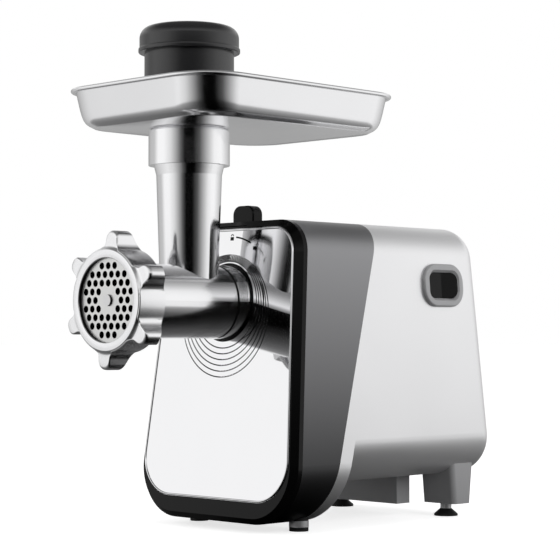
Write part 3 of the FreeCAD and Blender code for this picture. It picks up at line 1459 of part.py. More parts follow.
both_sides("carbon_brush", brush)
both_sides("brush_holder", brush_holder)
bolt_span = "bracket_back - cover_front"
screws("motor_bolts", bolt_pegs("motor_shank", "bolt_radius", "cover_front", bolt_span),
       bolt_pegs("motor_head", "2 * bolt_radius", "bracket_back", "screw_head_height"))
keep(motor_box("motor_cushion", ("-pad_half_width", "(stator_front + stator_back - pad_length) / 2",
                                 "rear_floor - motor_z"),
               ("pad_half_width", "(stator_front + stator_back + pad_length) / 2", "-stator_half")),
               "motor_pad")


# Check every object, then write each sub-part

doc.recompute()
for item in doc.Objects:
    if "Invalid" in item.State or "Error" in item.State:
        raise RuntimeError("{} failed: {}".format(item.Label, item.State))
for piece in nodes:
    if piece.Shape.isNull() or not piece.Shape.isValid():
        raise RuntimeError("{} has no valid shape".format(piece.Label))
os.makedirs("parts", exist_ok=True)
for piece in nodes:
    piece.Shape.exportStep("parts/{}.step".format(piece.Label))
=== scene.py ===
import json
import math

import bpy
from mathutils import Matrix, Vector


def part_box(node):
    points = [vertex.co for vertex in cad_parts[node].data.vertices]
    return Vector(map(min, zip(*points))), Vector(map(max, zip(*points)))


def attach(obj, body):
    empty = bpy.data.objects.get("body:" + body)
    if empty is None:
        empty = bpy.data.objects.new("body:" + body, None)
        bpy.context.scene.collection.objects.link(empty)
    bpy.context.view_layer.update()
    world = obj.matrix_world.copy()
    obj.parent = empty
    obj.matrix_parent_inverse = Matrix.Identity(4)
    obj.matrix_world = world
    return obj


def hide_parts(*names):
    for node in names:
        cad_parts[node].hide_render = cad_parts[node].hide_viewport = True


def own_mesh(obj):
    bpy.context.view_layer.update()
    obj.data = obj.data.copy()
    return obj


# An electric meat grinder in a white studio. Metres, +Z up, the ring nut faces -Y.

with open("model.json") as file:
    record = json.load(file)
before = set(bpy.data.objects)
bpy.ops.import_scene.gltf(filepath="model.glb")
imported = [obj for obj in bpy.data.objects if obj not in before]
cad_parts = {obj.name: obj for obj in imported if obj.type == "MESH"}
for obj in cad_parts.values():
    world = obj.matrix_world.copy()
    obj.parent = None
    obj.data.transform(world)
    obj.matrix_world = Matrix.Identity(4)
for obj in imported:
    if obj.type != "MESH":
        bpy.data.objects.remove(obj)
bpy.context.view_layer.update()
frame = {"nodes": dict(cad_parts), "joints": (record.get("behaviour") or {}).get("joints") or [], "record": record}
nodes = frame["nodes"]
joints = {joint["name"]: joint for joint in frame["joints"]}
MM = 0.001

# Camera: the place and lens fitted to the photograph's straight edges
FRAME_PIXELS = 560
FOCAL_PIXELS = 1800
HORIZON_PIXEL = 335
CAMERA_SPOT = (963.7 * MM, -959.1 * MM, 141 * MM)
CAMERA_AZIMUTH = 45
SENSOR_WIDTH = 36
CLIP_NEAR = 0.01
CLIP_FAR = 100

# Studio: what polished faces see at each compass angle, from +X towards +Y, as (degrees, brightness)
DARK_GAP = ((-97, 0.8), (-82, 0.46), (-66, 0.1), (-55, 0.0), (-30, 0.0), (-12, 0.09), (2, 0.34),
            (18, 0.66), (34, 1.0), (60, 1.05))
STUDIO_ROUND = ((-180, 0.55), (-158, 0.6), (-140, 1.05), (-118, 1.05), *DARK_GAP,
                (80, 0.8), (105, 0.55), (135, 0.22), (160, 0.4), (180, 0.55))
FLOOR_ROUND = ((-180, 0.6), (-150, 0.8), (-118, 1.0), *DARK_GAP,
               (95, 0.7), (135, 0.42), (165, 0.5), (180, 0.6))

# Studio: the light higher up, with the angles above the horizon where it starts and is full
UPPER_STARTS = 11
UPPER_ENDS = 20
UPPER_LIGHT = 0.95
CEILING_STARTS = 22
CEILING_ENDS = 48
CEILING_LIGHT = 0.2
WORLD_LIGHT = 0.3

# Floor, with its mirrored brightness as (distance from the middle, brightness)
FLOOR_SIZE = 40
FLOOR_COLOUR = (0.9, 0.9, 0.9)
FLOOR_ROUGHNESS = 0.6
FLOOR_GLOW = 0.72
SPECKLE_SCALE = 40
SPECKLE_DETAIL = 2
SPECKLE_SPREAD = 0.01
FLOOR_FAR = 0.75
FLOOR_STEPS = ((0.0, 0.08), (0.16, 0.1), (0.21, 0.11), (0.25, 0.15), (0.32, 0.22), (0.41, 0.27),
               (0.6, 0.42), (0.75, 0.92))

# Soft boxes: the point that they face, and the place, size and power of each
LIGHT_AIM = (0, 0, 0.17)
KEY_SPOT = (1.5, 0.1, 0.75)
KEY_SIZE = (1.2, 1.0)
KEY_POWER = 9
FILL_SPOT = (-0.4, -1.6, 0.8)
FILL_SIZE = (1.0, 1.2)
FILL_POWER = 7
TOP_SPOT = (0.0, 0.3, 1.8)
TOP_SIZE = (1.4, 1.4)
TOP_POWER = 6

# Casing and head sizes that the dressed pieces follow, in millimetres
AXIS_Z = 165
FRONT_ANGLE = 6.07
SIDE_ANGLE = 4
HALF_WIDTH = 82
WIDTH_LEVEL = 50
BODY_TOP = 224.5
BODY_BOTTOM = 6
# Depth of the painted shade on the casing's top
TOP_SHADE_DEPTH = 16
PLATE_INSET = 5.4
PLATE_BOTTOM_INSET = 16
PLATE_TOP_ROUND = 20
PLATE_BOTTOM_ROUND = 30
PLATE_PROUD = 0.4
HEAD_REACH = 115
RING_COUNT = 6
RING_FIRST = 32.1
RING_STEP = 2.6
RING_DROP = 1.65


# Node helpers, with the numbers of the Mix node's sockets for colours

MIX_A = 6
MIX_B = 7
MIX_RESULT = 2
BUMP_HEIGHT = 0.1 * MM


def new_material(name):
    """An empty node material with its output, and a function that adds nodes to it."""
    material = bpy.data.materials.new(name)
    material.use_nodes = True
    tree = material.node_tree
    tree.nodes.clear()
    output = tree.nodes.new("ShaderNodeOutputMaterial")
    return material, node_adder(tree), tree.links, output


def node_adder(tree):
    """A function that adds a node to a tree, with its inputs linked or set."""
    def add(kind, inputs=None, **settings):
        node = tree.nodes.new("ShaderNode" + kind)
        for key, setting in settings.items():
            setattr(node, key, setting)
        for key, source in (inputs or {}).items():
            if isinstance(source, bpy.types.NodeSocket):
                tree.links.new(source, node.inputs[key])
            else:
                node.inputs[key].default_value = source
        return node
    return add


def compute(add, operation, *values):
    """The result of a sum on one or two values."""
    return add("Math", dict(enumerate(values)), operation=operation).outputs["Value"]


def remap(add, source, low, high, start=0.0, end=1.0):
    """A value stretched from one span to another."""
    return add("MapRange", {"Value": source, "From Min": start, "From Max": end,
                            "To Min": low, "To Max": high}).outputs["Result"]


def uneven(add, factor, middle, swing):
    """A value that swings round its middle by a share of itself."""
    return remap(add, factor, middle * (1 - swing), middle * (1 + swing))


def blend(add, factor, near, far):
    """A value between two, by a factor."""
    return add("Mix", {"Factor": factor, "A": near, "B": far}, data_type="FLOAT").outputs["Result"]


def tint(add, factor, dark, light):
    """A colour between two, by a factor."""
    mixed = add("Mix", {"Factor": factor, MIX_A: (*dark, 1), MIX_B: (*light, 1)}, data_type="RGBA")
    return mixed.outputs[MIX_RESULT]


def shades(colour, spread):
    """A colour made a little darker and a little lighter."""
    return [[min(1, part * share) for part in colour] for share in (1 - spread, 1 + spread)]


def noise(add, where, scale, detail, roughness=0.5):
    """A noise value at each place."""
    return add("TexNoise", {"Vector": where, "Scale": scale, "Detail": detail,
                            "Roughness": roughness}).outputs["Fac"]


def bumped(add, height, strength):
    """A surface direction disturbed by fine marks."""
    return add("Bump", {"Height": height, "Strength": strength, "Distance": BUMP_HEIGHT}).outputs["Normal"]


def shaded_by_height(add, colour, where, foot, top_shade):
    """A colour with painted shade by height: it fades to a share of itself at the casing's foot, and to another on
    its top.
    """
    level = add("SeparateXYZ", {"Vector": where}).outputs["Z"]
    share = remap(add, level, foot, 1, BODY_BOTTOM * MM, BODY_TOP * MM)
    top = remap(add, level, 1, top_shade, (BODY_TOP - TOP_SHADE_DEPTH) * MM, BODY_TOP * MM)
    both = compute(add, "MULTIPLY", share, top)
    return add("VectorMath", {0: colour, "Scale": both}, operation="SCALE").outputs["Vector"]


# Kinds of surface

GRAIN = 0.9 * MM
GRAIN_DETAIL = 3
DRIFT_SCALE = 14
DRIFT_DETAIL = 2
GLOSS_SWING = 0.15
MARK_DETAIL = 4
MARK_ROUGHNESS = 0.6
BLOOM_SCALE = 22
BLOOM_DETAIL = 3
METAL_SWING = 0.35
GROUND_SCALE = 1500
GROUND_DEPTH = 0.12
GROUND_SPREAD = 0.1
GROUND_SWING = 0.3
SQUARE_LIMIT = 0.9
# Near black painted shade, for holes and hollows that no light reaches
SHADE_BLACK = (0.02, 0.02, 0.02)


def moulded(name, colour, roughness, depth=0.02, spread=0.06, flake=0.0, foot=1.0, top_shade=1.0, shine=0.5):
    """Moulded plastic or lacquer: a fine grain, a slow drift of colour, uneven gloss, and painted shade by height,
    darker towards the casing's foot and top by the shares given.
    """
    material, add, links, output = new_material(name)
    where = add("TexCoord").outputs["Object"]
    fine = noise(add, where, 1 / GRAIN, GRAIN_DETAIL)
    slow = noise(add, where, DRIFT_SCALE, DRIFT_DETAIL)
    paint = tint(add, slow, *shades(colour, spread))
    shader = add("BsdfPrincipled", {
        "Base Color": shaded_by_height(add, paint, where, foot, top_shade), "Metallic": flake,
        "Roughness": uneven(add, slow, roughness, GLOSS_SWING),
        "Normal": bumped(add, fine, depth), "Specular IOR Level": shine})
    links.new(shader.outputs["BSDF"], output.inputs["Surface"])
    return material


def metal(name, colour, roughness, brush=(1, 1, 1), scale=900, depth=0.015, spread=0.05):
    """Metal with fine brush or polishing marks, drawn out along the axis where brush is small."""
    material, add, links, output = new_material(name)
    where = add("TexCoord").outputs["Object"]
    drawn = add("Mapping", {"Vector": where, "Scale": brush}).outputs["Vector"]
    marks = noise(add, drawn, scale, MARK_DETAIL, MARK_ROUGHNESS)
    slow = noise(add, where, BLOOM_SCALE, BLOOM_DETAIL)
    shader = add("BsdfPrincipled", {
        "Base Color": tint(add, slow, *shades(colour, spread)), "Metallic": 1.0,
        "Roughness": uneven(add, marks, roughness, METAL_SWING),
        "Normal": bumped(add, marks, depth)})
    links.new(shader.outputs["BSDF"], output.inputs["Surface"])
    return material


def faced_metal(name, colour, roughness, front=None):
    """Metal ground on faces square to the barrel's axis, with painted shade in its holes and behind a given plane.
    """
    material, add, links, output = new_material(name)
    places = add("TexCoord")
    where = places.outputs["Object"]
    marks = noise(add, where, GROUND_SCALE, MARK_DETAIL)
    along = add("SeparateXYZ", {"Vector": places.outputs["Normal"]}).outputs["Y"]
    # Faces not square to the axis, and those behind the given plane, take painted shade in place of ground metal
    square = compute(add, "GREATER_THAN", compute(add, "ABSOLUTE", along), SQUARE_LIMIT)
    if front is not None:
        depth = add("SeparateXYZ", {"Vector": where}).outputs["Y"]
        square = compute(add, "MULTIPLY", square, compute(add, "LESS_THAN", depth, front))
    ground = tint(add, marks, *shades(colour, GROUND_SPREAD))
    base = add("Mix", {"Factor": square, MIX_A: (*SHADE_BLACK, 1), MIX_B: ground}, data_type="RGBA")
    shader = add("BsdfPrincipled", {
        "Base Color": base.outputs[MIX_RESULT], "Metallic": 1.0,
        "Roughness": uneven(add, marks, roughness, GROUND_SWING),
        "Normal": bumped(add, marks, GROUND_DEPTH)})
    links.new(shader.outputs["BSDF"], output.inputs["Surface"])
    return material


# Finishes

MIRROR = (0.85, 0.85, 0.86)
BRIGHT_CASTING = (0.88, 0.88, 0.89)
GLOSS_BLACK = (0.003, 0.003, 0.003)
PLASTIC_BLACK = (0.004, 0.004, 0.004)
RUBBER_BLACK = (0.008, 0.008, 0.008)
PUSHER_BLACK = (0.014, 0.014, 0.015)
CARBON_BLACK = (0.03, 0.03, 0.03)
CHARCOAL = (0.35, 0.35, 0.36)
SILVER = (0.95, 0.95, 0.96)
GREY = (0.46, 0.46, 0.47)
CUTTER_GREY = (0.80, 0.80, 0.79)
AUGER_GREY = (0.78, 0.78, 0.78)
NYLON = (0.82, 0.80, 0.72)
GEAR_GREY = (0.45, 0.45, 0.46)
STEEL = (0.66, 0.66, 0.67)
BRONZE = (0.66, 0.48, 0.26)
ZINC = (0.5, 0.5, 0.52)
IRON = (0.28, 0.28, 0.3)
COPPER = (0.72, 0.36, 0.18)
CUTTER_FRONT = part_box("cutting_plate")[0].y

FINISHES = {
    "mirror_plate": metal("mirror_plate", MIRROR, roughness=0.03, scale=500, depth=0.004, spread=0.01),
    "black_gloss": moulded("black_gloss", GLOSS_BLACK, roughness=0.12, depth=0.006, shine=0.15),
    # Painted shade: the band goes dark towards the casing's foot, and darker on its top
    "charcoal_band": moulded("charcoal_band", CHARCOAL, roughness=0.36, depth=0.03, flake=0.85, foot=0.0,
                             top_shade=0.4),
    # Painted shade: the silver body goes a little darker towards the casing's foot
    "silver_body": moulded("silver_body", SILVER, roughness=0.36, spread=0.015, flake=0.8, foot=0.88),
    "black_rubber": moulded("black_rubber", RUBBER_BLACK, roughness=0.6, depth=0.06),
    "black_plastic": moulded("black_plastic", PLASTIC_BLACK, roughness=0.2, shine=0.15),
    "grey_plastic": moulded("grey_plastic", GREY, roughness=0.35, depth=0.03, flake=0.2),
    "polished_casting": metal("polished_casting", BRIGHT_CASTING, roughness=0.14, brush=(1, 0.1, 1),
                              scale=700, spread=0.02),
    "tray_steel": metal("tray_steel", BRIGHT_CASTING, roughness=0.16, brush=(0.3, 0.3, 1), scale=600,
                        depth=0.01, spread=0.02),
    # Painted shade: near black on faces not square to the axis, where the holes are
    "cutter_steel": faced_metal("cutter_steel", CUTTER_GREY, roughness=0.4),
    # Painted shade: near black all over, for parts that sit where no light reaches
    "dark_steel": metal("dark_steel", SHADE_BLACK, roughness=0.5),
    # Painted shade: near black off its ground faces and behind the cutting plate's front
    "auger_casting": faced_metal("auger_casting", AUGER_GREY, roughness=0.4, front=CUTTER_FRONT),
    "pusher_plastic": moulded("pusher_plastic", PUSHER_BLACK, roughness=0.22, depth=0.03, shine=0.7),
    "gear_nylon": moulded("gear_nylon", NYLON, roughness=0.45),
    "gear_steel": metal("gear_steel", GEAR_GREY, roughness=0.35),
    "bright_steel": metal("bright_steel", STEEL, roughness=0.25),
    "bronze": metal("bronze", BRONZE, roughness=0.35),
    "zinc_casting": metal("zinc_casting", ZINC, roughness=0.45, depth=0.08),
    "laminations": metal("laminations", IRON, roughness=0.5, brush=(0.05, 4, 0.05), depth=0.08),
    "copper": metal("copper", COPPER, roughness=0.35, brush=(3, 0.05, 3)),
    "carbon": moulded("carbon", CARBON_BLACK, roughness=0.6, depth=0.08),
}
SATIN_CASTING = metal("satin_casting", BRIGHT_CASTING, roughness=0.22, scale=1200, depth=0.03, spread=0.03)
# Painted shade for the wall of the nut's opening
SHADED_WALL = metal("nut_opening_shade", SHADE_BLACK, roughness=0.55)

for part in frame["record"]["subparts"]:
    mesh = nodes[part["node"]].data
    mesh.materials.clear()
    mesh.materials.append(FINISHES[part["material_slot"]])


# Piece helpers

SMOOTH_ANGLE = 38
CORNER_STEPS = 14
SIDE_STEPS = 5
LATHE_SEGMENTS = 160


def new_piece(name, points, faces, slot, body, replaced=()):
    """A smooth mesh, from points in millimetres, that moves with a body and takes a slot's finish."""
    mesh = bpy.data.meshes.new(name)
    mesh.from_pydata([Vector(point) * MM for point in points], [], faces)
    mesh.validate()
    mesh.shade_smooth()
    mesh.set_sharp_from_angle(angle=math.radians(SMOOTH_ANGLE))
    mesh.materials.append(FINISHES[slot])
    piece = bpy.data.objects.new(name, mesh)
    bpy.context.scene.collection.objects.link(piece)
    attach(piece, body)
    if replaced:
        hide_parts(*replaced)
    return piece


def skin(loops, closed):
    """Points and faces of a surface through loops of equal length; closed joins the last to the first."""
    count = len(loops[0])
    points = [point for loop in loops for point in loop]
    faces = []
    for row in range(len(loops) if closed else len(loops) - 1):
        following = (row + 1) % len(loops)
        for column in range(count):
            beside = (column + 1) % count
            faces.append((row * count + column, row * count + beside,
                          following * count + beside, following * count + column))
    return points, faces


def joined(surfaces):
    """Points and faces of several surfaces as one."""
    points, faces = [], []
    for made, quads in surfaces:
        faces += [tuple(corner + len(points) for corner in quad) for quad in quads]
        points += made
    return points, faces


def turns(count):
    """Even angles once round a circle."""
    return [2 * math.pi * step / count for step in range(count)]


def arc(centre, radius, start, end, steps):
    """Points of an arc in a plane, by its centre, radius and angles in degrees."""
    x, y = centre
    angles = [math.radians(start + (end - start) * step / steps) for step in range(steps + 1)]
    return [(x + radius * math.cos(angle), y + radius * math.sin(angle)) for angle in angles]


def mix(near, far, share):
    """A value part of the way from one to another."""
    return near + (far - near) * share


def ease(share):
    """A share from 0 to 1, eased at both ends."""
    share = min(1, max(0, share))
    return share * share * (3 - 2 * share)


def rounded_loop(half, front, back, radius):
    """Points round a rectangle with round corners, the same number for any size."""
    corners = ((half - radius, back - radius, 0), (radius - half, back - radius, 90),
               (radius - half, front + radius, 180), (half - radius, front + radius, 270))
    bends = [arc((x, y), radius, start, start + 90, CORNER_STEPS) for x, y, start in corners]
    loop = []
    for index, bend in enumerate(bends):
        following = bends[(index + 1) % len(bends)][0]
        loop.extend(bend)
        for step in range(1, SIDE_STEPS):
            share = step / SIDE_STEPS
            loop.append((mix(bend[-1][0], following[0], share), mix(bend[-1][1], following[1], share)))
    return loop


def lathe(profile, centre_x, centre_y):
    """Points and faces of a turned form about an upright axis, from an open row of (radius, height)."""
    loops = []
    for turn in turns(LATHE_SEGMENTS):
        loops.append([(centre_x + radius * math.cos(turn), centre_y + radius * math.sin(turn), height)
                      for radius, height in profile])
    points, faces = skin(loops, True)
    return points, [face for face in faces if face[1] % len(profile)]


# Places read from the frame, in millimetres

def box_of(node):
    """The lowest and highest corner of a node's box."""
    low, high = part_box(node)
    return low / MM, high / MM


nut_low, nut_high = box_of("ring_nut")
tray_low, tray_high = box_of("tray")
cap_low, cap_high = box_of("pusher_cap")
NUT_FACE = nut_low.y
FRONT_Y = NUT_FACE + HEAD_REACH
FEED_Y = (cap_low.y + cap_high.y) / 2


# Ring nut

NUT_RADIUS = 36.5
NUT_OPENING = 29.4
NUT_LIP = 2.7
NUT_ROOM = 33.5
NUT_SHOULDER = 34.8
SHOULDER_END = 35.3
NUT_SOFT = 0.7
LOBE_COUNT = 6
LOBE_CLOCK = 5.5
LOBE_TIP = 48.5
LOBE_TIP_HALF = 5.2
LOBE_ROOT = 31.5
LOBE_ROOT_HALF = 7
LOBE_ROUND = 5
LOBE_BLEND = 7
LOBE_SETBACK = 2.2
LOBE_STEP = 2.6
LOBE_LAND = 15
LOBE_END = 22.5
DRUM_EDGE = 0.9
LOBE_EDGE = 2.6
OPENING_STEPS = 4
SHOULDER_STEPS = 3
FACE_STEPS = 8
EDGE_STEPS = 6
OUTLINE_STEPS = 12


def lobe_outline():
    """Half a lobe's outline as (across, out), from the middle of its tip to midway between two lobes."""
    lean = math.atan((LOBE_ROOT_HALF - LOBE_TIP_HALF) / (LOBE_TIP - LOBE_ROOT))
    flank = Vector((math.cos(lean), math.sin(lean)))
    along = Vector((-flank.y, flank.x))
    flank_reach = flank.dot(Vector((LOBE_TIP_HALF, LOBE_TIP)))
    tip_out = LOBE_TIP - LOBE_ROUND
    tip_centre = ((flank_reach - LOBE_ROUND - tip_out * flank.y) / flank.x, tip_out)
    blend_across = flank_reach + LOBE_BLEND
    blend_out = math.sqrt((NUT_RADIUS + LOBE_BLEND) ** 2 - blend_across ** 2)
    blend_centre = flank * blend_across + along * blend_out
    foot = math.degrees(math.atan2(blend_centre.x, blend_centre.y))
    flank_turn = math.degrees(lean)
    tip = arc(tip_centre, LOBE_ROUND, 90, flank_turn, OUTLINE_STEPS)
    hollow = arc(blend_centre, LOBE_BLEND, 180 + flank_turn, 270 - foot, OUTLINE_STEPS)
    drum = arc((0, 0), NUT_RADIUS, 90 - foot, 90 - 180 / LOBE_COUNT, OUTLINE_STEPS)
    return [(0, LOBE_TIP)] + tip + hollow + drum[1:]


def nut_profile(reach):
    """The nut's section as (radius, distance behind its face) where its outline reaches a radius."""
    length = nut_high.y - nut_low.y
    lobe = (reach - NUT_RADIUS) / (LOBE_TIP - NUT_RADIUS)
    edge = mix(DRUM_EDGE, LOBE_EDGE, lobe)
    section = [(NUT_OPENING, NUT_LIP)]
    section += arc((NUT_OPENING + NUT_SOFT, NUT_SOFT), NUT_SOFT, 180, 270, OPENING_STEPS)
    radii = [mix(NUT_SHOULDER, SHOULDER_END, step / SHOULDER_STEPS) for step in range(SHOULDER_STEPS)]
    radii += [mix(SHOULDER_END, reach - edge, (step / FACE_STEPS) ** 2) for step in range(FACE_STEPS)]
    section += [(radius, LOBE_SETBACK * ease((radius - NUT_SHOULDER) / LOBE_STEP)) for radius in radii]
    face = LOBE_SETBACK * ease((reach - edge - NUT_SHOULDER) / LOBE_STEP)
    section += arc((reach - edge, face + edge), edge, -90, 0, EDGE_STEPS)
    land = mix(LOBE_END, LOBE_LAND, lobe)
    foot = LOBE_END + NUT_SOFT / 2
    section += [(reach, land), ((reach + NUT_RADIUS) / 2, (land + foot) / 2), (NUT_RADIUS, foot)]
    section += [(NUT_RADIUS, length - NUT_SOFT), (NUT_RADIUS - NUT_SOFT, length), (NUT_ROOM, length),
                (NUT_ROOM, NUT_LIP)]
    return section


def make_ring_nut():
    """The nut with soft edges; the first strip of its section, the wall of its opening, has painted shade."""
    half = lobe_outline()
    whole = [(-across, out) for across, out in half[:0:-1]] + half[:-1]
    loops = []
    for lobe in range(LOBE_COUNT):
        clock = math.radians(LOBE_CLOCK + lobe * 360 / LOBE_COUNT)
        for across, out in whole:
            angle = clock + math.atan2(across, out)
            loops.append([(radius * math.sin(angle), NUT_FACE + depth, AXIS_Z + radius * math.cos(angle))
                          for radius, depth in nut_profile(math.hypot(across, out))])
    points, faces = skin(loops, True)
    piece = new_piece("ring_nut_smooth", points, faces, "polished_casting", "nut", ["ring_nut"])
    piece.data.materials.clear()
    piece.data.materials.append(SATIN_CASTING)
    piece.data.materials.append(SHADED_WALL)
    count = len(loops[0])
    # The opening's wall takes the painted shade
    for polygon in piece.data.polygons:
        if polygon.vertices[0] % count == 0 and polygon.vertices[1] % count == 1:
            polygon.material_index = 1


# Tray

TRAY_SHEET = 1.2
TRAY_CORNER = 35
CORNER_SHRINK = 0.5
DISH_NECK = 31
DISH_HEEL = 14
HEEL_RISE = 2.5
HEEL_BEND = 9.2
HEEL_BEND_RISE = 5.4
BELLY_CURVE = 1.4
BELLY_STEPS = 10
WALL_FOOT = 6.5
WALL_FOOT_RISE = 11
WALL_TOP = 3
TRAY_DEPTH = 31
NECK_RADIUS = 25.75
NECK_SOFT = 0.4
RIM_BEAD = 1.6
BEAD_STEPS = 10
CUT_ROUNDS = 2
CUT_SHARE = 0.22


def softened(path):
    """A path with its corners cut a few times, its ends kept."""
    for _ in range(CUT_ROUNDS):
        made = [path[0]]
        for near, far in zip(path, path[1:]):
            for share in (CUT_SHARE, 1 - CUT_SHARE):
                made.append(tuple(mix(a, b, share) for a, b in zip(near, far)))
        path = made + [path[-1]]
    return path


def tray_section(inset, rise, shrink=0.0):
    """A level loop of the tray's outline, drawn in by an inset, at a rise above its floor."""
    step = inset + shrink
    half = tray_high.x - step
    loop = rounded_loop(half, tray_low.y + step, tray_high.y - step, TRAY_CORNER - step * CORNER_SHRINK)
    level = tray_high.z - TRAY_DEPTH + rise
    return [(x, y, level) for x, y in loop]


def tray_ring(radius, rise):
    """A level loop that is nearly a circle round the feed tube."""
    loop = rounded_loop(radius, FEED_Y - radius, FEED_Y + radius, radius - NECK_SOFT)
    level = tray_high.z - TRAY_DEPTH + rise
    return [(x, y, level) for x, y in loop]


def tray_shell(shrink, lift):
    """Loops from the ring at the neck, over the belly, up to the top of the wall."""
    ring = tray_ring(DISH_NECK - shrink, lift)
    heel = tray_section(DISH_HEEL, HEEL_RISE + lift, shrink)
    loops = [ring]
    for step in range(1, BELLY_STEPS):
        share = step / BELLY_STEPS
        level = ring[0][2] + HEEL_RISE * share ** BELLY_CURVE
        loops.append([(mix(near[0], far[0], share), mix(near[1], far[1], share), level)
                      for near, far in zip(ring, heel)])
    wall = softened([(DISH_HEEL, HEEL_RISE), (HEEL_BEND, HEEL_BEND_RISE), (WALL_FOOT, WALL_FOOT_RISE),
                     (WALL_TOP, TRAY_DEPTH - RIM_BEAD)])
    return loops + [tray_section(inset, rise + lift, shrink) for inset, rise in wall]


def make_tray():
    """The pressed tray as one closed skin: outside, rolled rim, inside and neck."""
    neck_drop = tray_low.z - tray_high.z + TRAY_DEPTH
    neck_inside = NECK_RADIUS - TRAY_SHEET
    outer = tray_shell(0, 0)[:-1] + [tray_section(WALL_TOP, TRAY_DEPTH - 2 * RIM_BEAD)]
    bead = [tray_section(RIM_BEAD - x, TRAY_DEPTH - RIM_BEAD + z)
            for x, z in arc((0, 0), RIM_BEAD, -90, 90, BEAD_STEPS)]
    lip = tray_section(WALL_TOP, TRAY_DEPTH)
    top = tray_section(WALL_TOP + TRAY_SHEET, TRAY_DEPTH - TRAY_SHEET / 2)
    inner = tray_shell(TRAY_SHEET, TRAY_SHEET)[:-1]
    neck = [tray_ring(neck_inside, TRAY_SHEET), tray_ring(neck_inside, neck_drop),
            tray_ring(NECK_RADIUS, neck_drop), tray_ring(NECK_RADIUS, 0)]
    points, faces = skin(outer + bead + [lip, top] + inner[::-1] + neck, True)
    new_piece("tray_pressed", points, faces, "tray_steel", "tray", ["tray"])


# Pusher cap

CAP_RADIUS = 36
CAP_RIM = 2.6
CAP_RIM_SOFT = 0.8
CAP_RIM_STEP = 0.2
CAP_ROUND = 8.5
CAP_ROUND_END = 86
CAP_DOME = 0.5
AXIS_GAP = 0.01
CAP_RIM_STEPS = 5
CAP_ROUND_STEPS = 14
DOME_STEPS = 6


def make_pusher_cap():
    """The cap with a thin rim, a rounded edge and a low dome."""
    rim_middle = cap_high.x - CAP_RIM_SOFT
    rim = [(AXIS_GAP, cap_low.z)]
    rim += arc((rim_middle, cap_low.z + CAP_RIM_SOFT), CAP_RIM_SOFT, -90, 0, CAP_RIM_STEPS)
    rim += arc((rim_middle, cap_low.z + CAP_RIM), CAP_RIM_SOFT, 0, 90, CAP_RIM_STEPS)
    wall = [(CAP_RADIUS, cap_low.z + CAP_RIM + CAP_RIM_SOFT + CAP_RIM_STEP)]
    bend_level = cap_high.z - CAP_DOME - CAP_ROUND
    bend = arc((CAP_RADIUS - CAP_ROUND, bend_level), CAP_ROUND, 0, CAP_ROUND_END, CAP_ROUND_STEPS)
    edge, level = bend[-1]
    shares = [step / DOME_STEPS for step in range(1, DOME_STEPS)]
    dome = [(edge * (1 - share), mix(level, cap_high.z, ease(share))) for share in shares]
    dome.append((AXIS_GAP, cap_high.z))
    points, faces = lathe(rim + wall + bend + dome, 0, FEED_Y)
    new_piece("pusher_cap_round", points, faces, "pusher_plastic", "pusher", ["pusher_cap"])


# Switch frame

SWITCH_HALF_LENGTH = 23
SWITCH_HALF_HEIGHT = 16.5
SWITCH_ROUND = 14
SWITCH_RIM = 3
SWITCH_SOFT = 1.6
SWITCH_SOFT_STEPS = 6
OPENING_HALF_LENGTH = 16
OPENING_HALF_HEIGHT = 10
OPENING_ROUND = 6
OPENING_BEVEL = 1.8
SPIGOT_WALL = 2
SPIGOT_LENGTH = 11
ROCKER_PIVOT = 4


def make_switch_frame():
    """The switch's frame, drawn on the leaning side wall."""
    hinge = joints["switch_rock"]
    up = Vector(hinge["axis"])
    back = Vector((0, 1, 0))
    out = back.cross(up)
    middle = Vector(hinge["pos_m"]) / MM + out * ROCKER_PIVOT
    frame_size = (SWITCH_HALF_LENGTH, SWITCH_HALF_HEIGHT, SWITCH_ROUND)
    opening_size = (OPENING_HALF_LENGTH, OPENING_HALF_HEIGHT, OPENING_ROUND)

    def loop(size, inset, depth):
        half_length, half_height, radius = [length - inset for length in size]
        outline = rounded_loop(half_length, -half_height, half_height, radius)
        return [tuple(middle + back * x + up * y + out * depth) for x, y in outline]

    loops = [loop(frame_size, 0, 0)]
    rim_centre = (SWITCH_SOFT, SWITCH_RIM - SWITCH_SOFT)
    for across, rise in arc(rim_centre, SWITCH_SOFT, 180, 90, SWITCH_SOFT_STEPS):
        loops.append(loop(frame_size, across, rise))
    loops.append(loop(opening_size, -OPENING_BEVEL, SWITCH_RIM))
    loops.append(loop(opening_size, 0, SWITCH_RIM - OPENING_BEVEL))
    loops.append(loop(opening_size, 0, -SPIGOT_LENGTH))
    loops.append(loop(opening_size, -SPIGOT_WALL, -SPIGOT_LENGTH))
    loops.append(loop(opening_size, -SPIGOT_WALL, 0))
    points, faces = skin(loops, True)
    new_piece("switch_frame", points, faces, "grey_plastic", "casing", ["switch_bezel"])


# Trim, painted shade in the ring grooves, and signs on the mirror plate

PLATE_CORNER_STEPS = 20
TRIM_INSET = 0.9
TRIM_RADIUS = 0.75
TRIM_STEPS = 8
RING_WIDTH = 1.0
RING_SINK = 0.12
RING_SEGMENTS = 180
SIGN_RADIUS = 48.2
SIGN_PROUD = 0.03
LOCK_TURNS = (1.7, 32.7)
ARROW_TURNS = (6.6, 26.6)
ARROW_WIDTH = 1.2
ARROW_STEPS = 20
LOCK_WIDTH = 3.6
LOCK_HEIGHT = 2.6
SHACKLE_RADIUS = 1.2
SHACKLE_WIDTH = 0.7
SHACKLE_STEPS = 12


def on_plate(x, z, proud):
    """A point on the leaning mirror plate, so far in front of it."""
    return x, FRONT_Y + math.tan(math.radians(FRONT_ANGLE)) * (z - AXIS_Z) - PLATE_PROUD - proud, z


def side_at(level, inset):
    """Half the casing's width at a level, drawn in."""
    return HALF_WIDTH + math.tan(math.radians(SIDE_ANGLE)) * (WIDTH_LEVEL - level) - inset


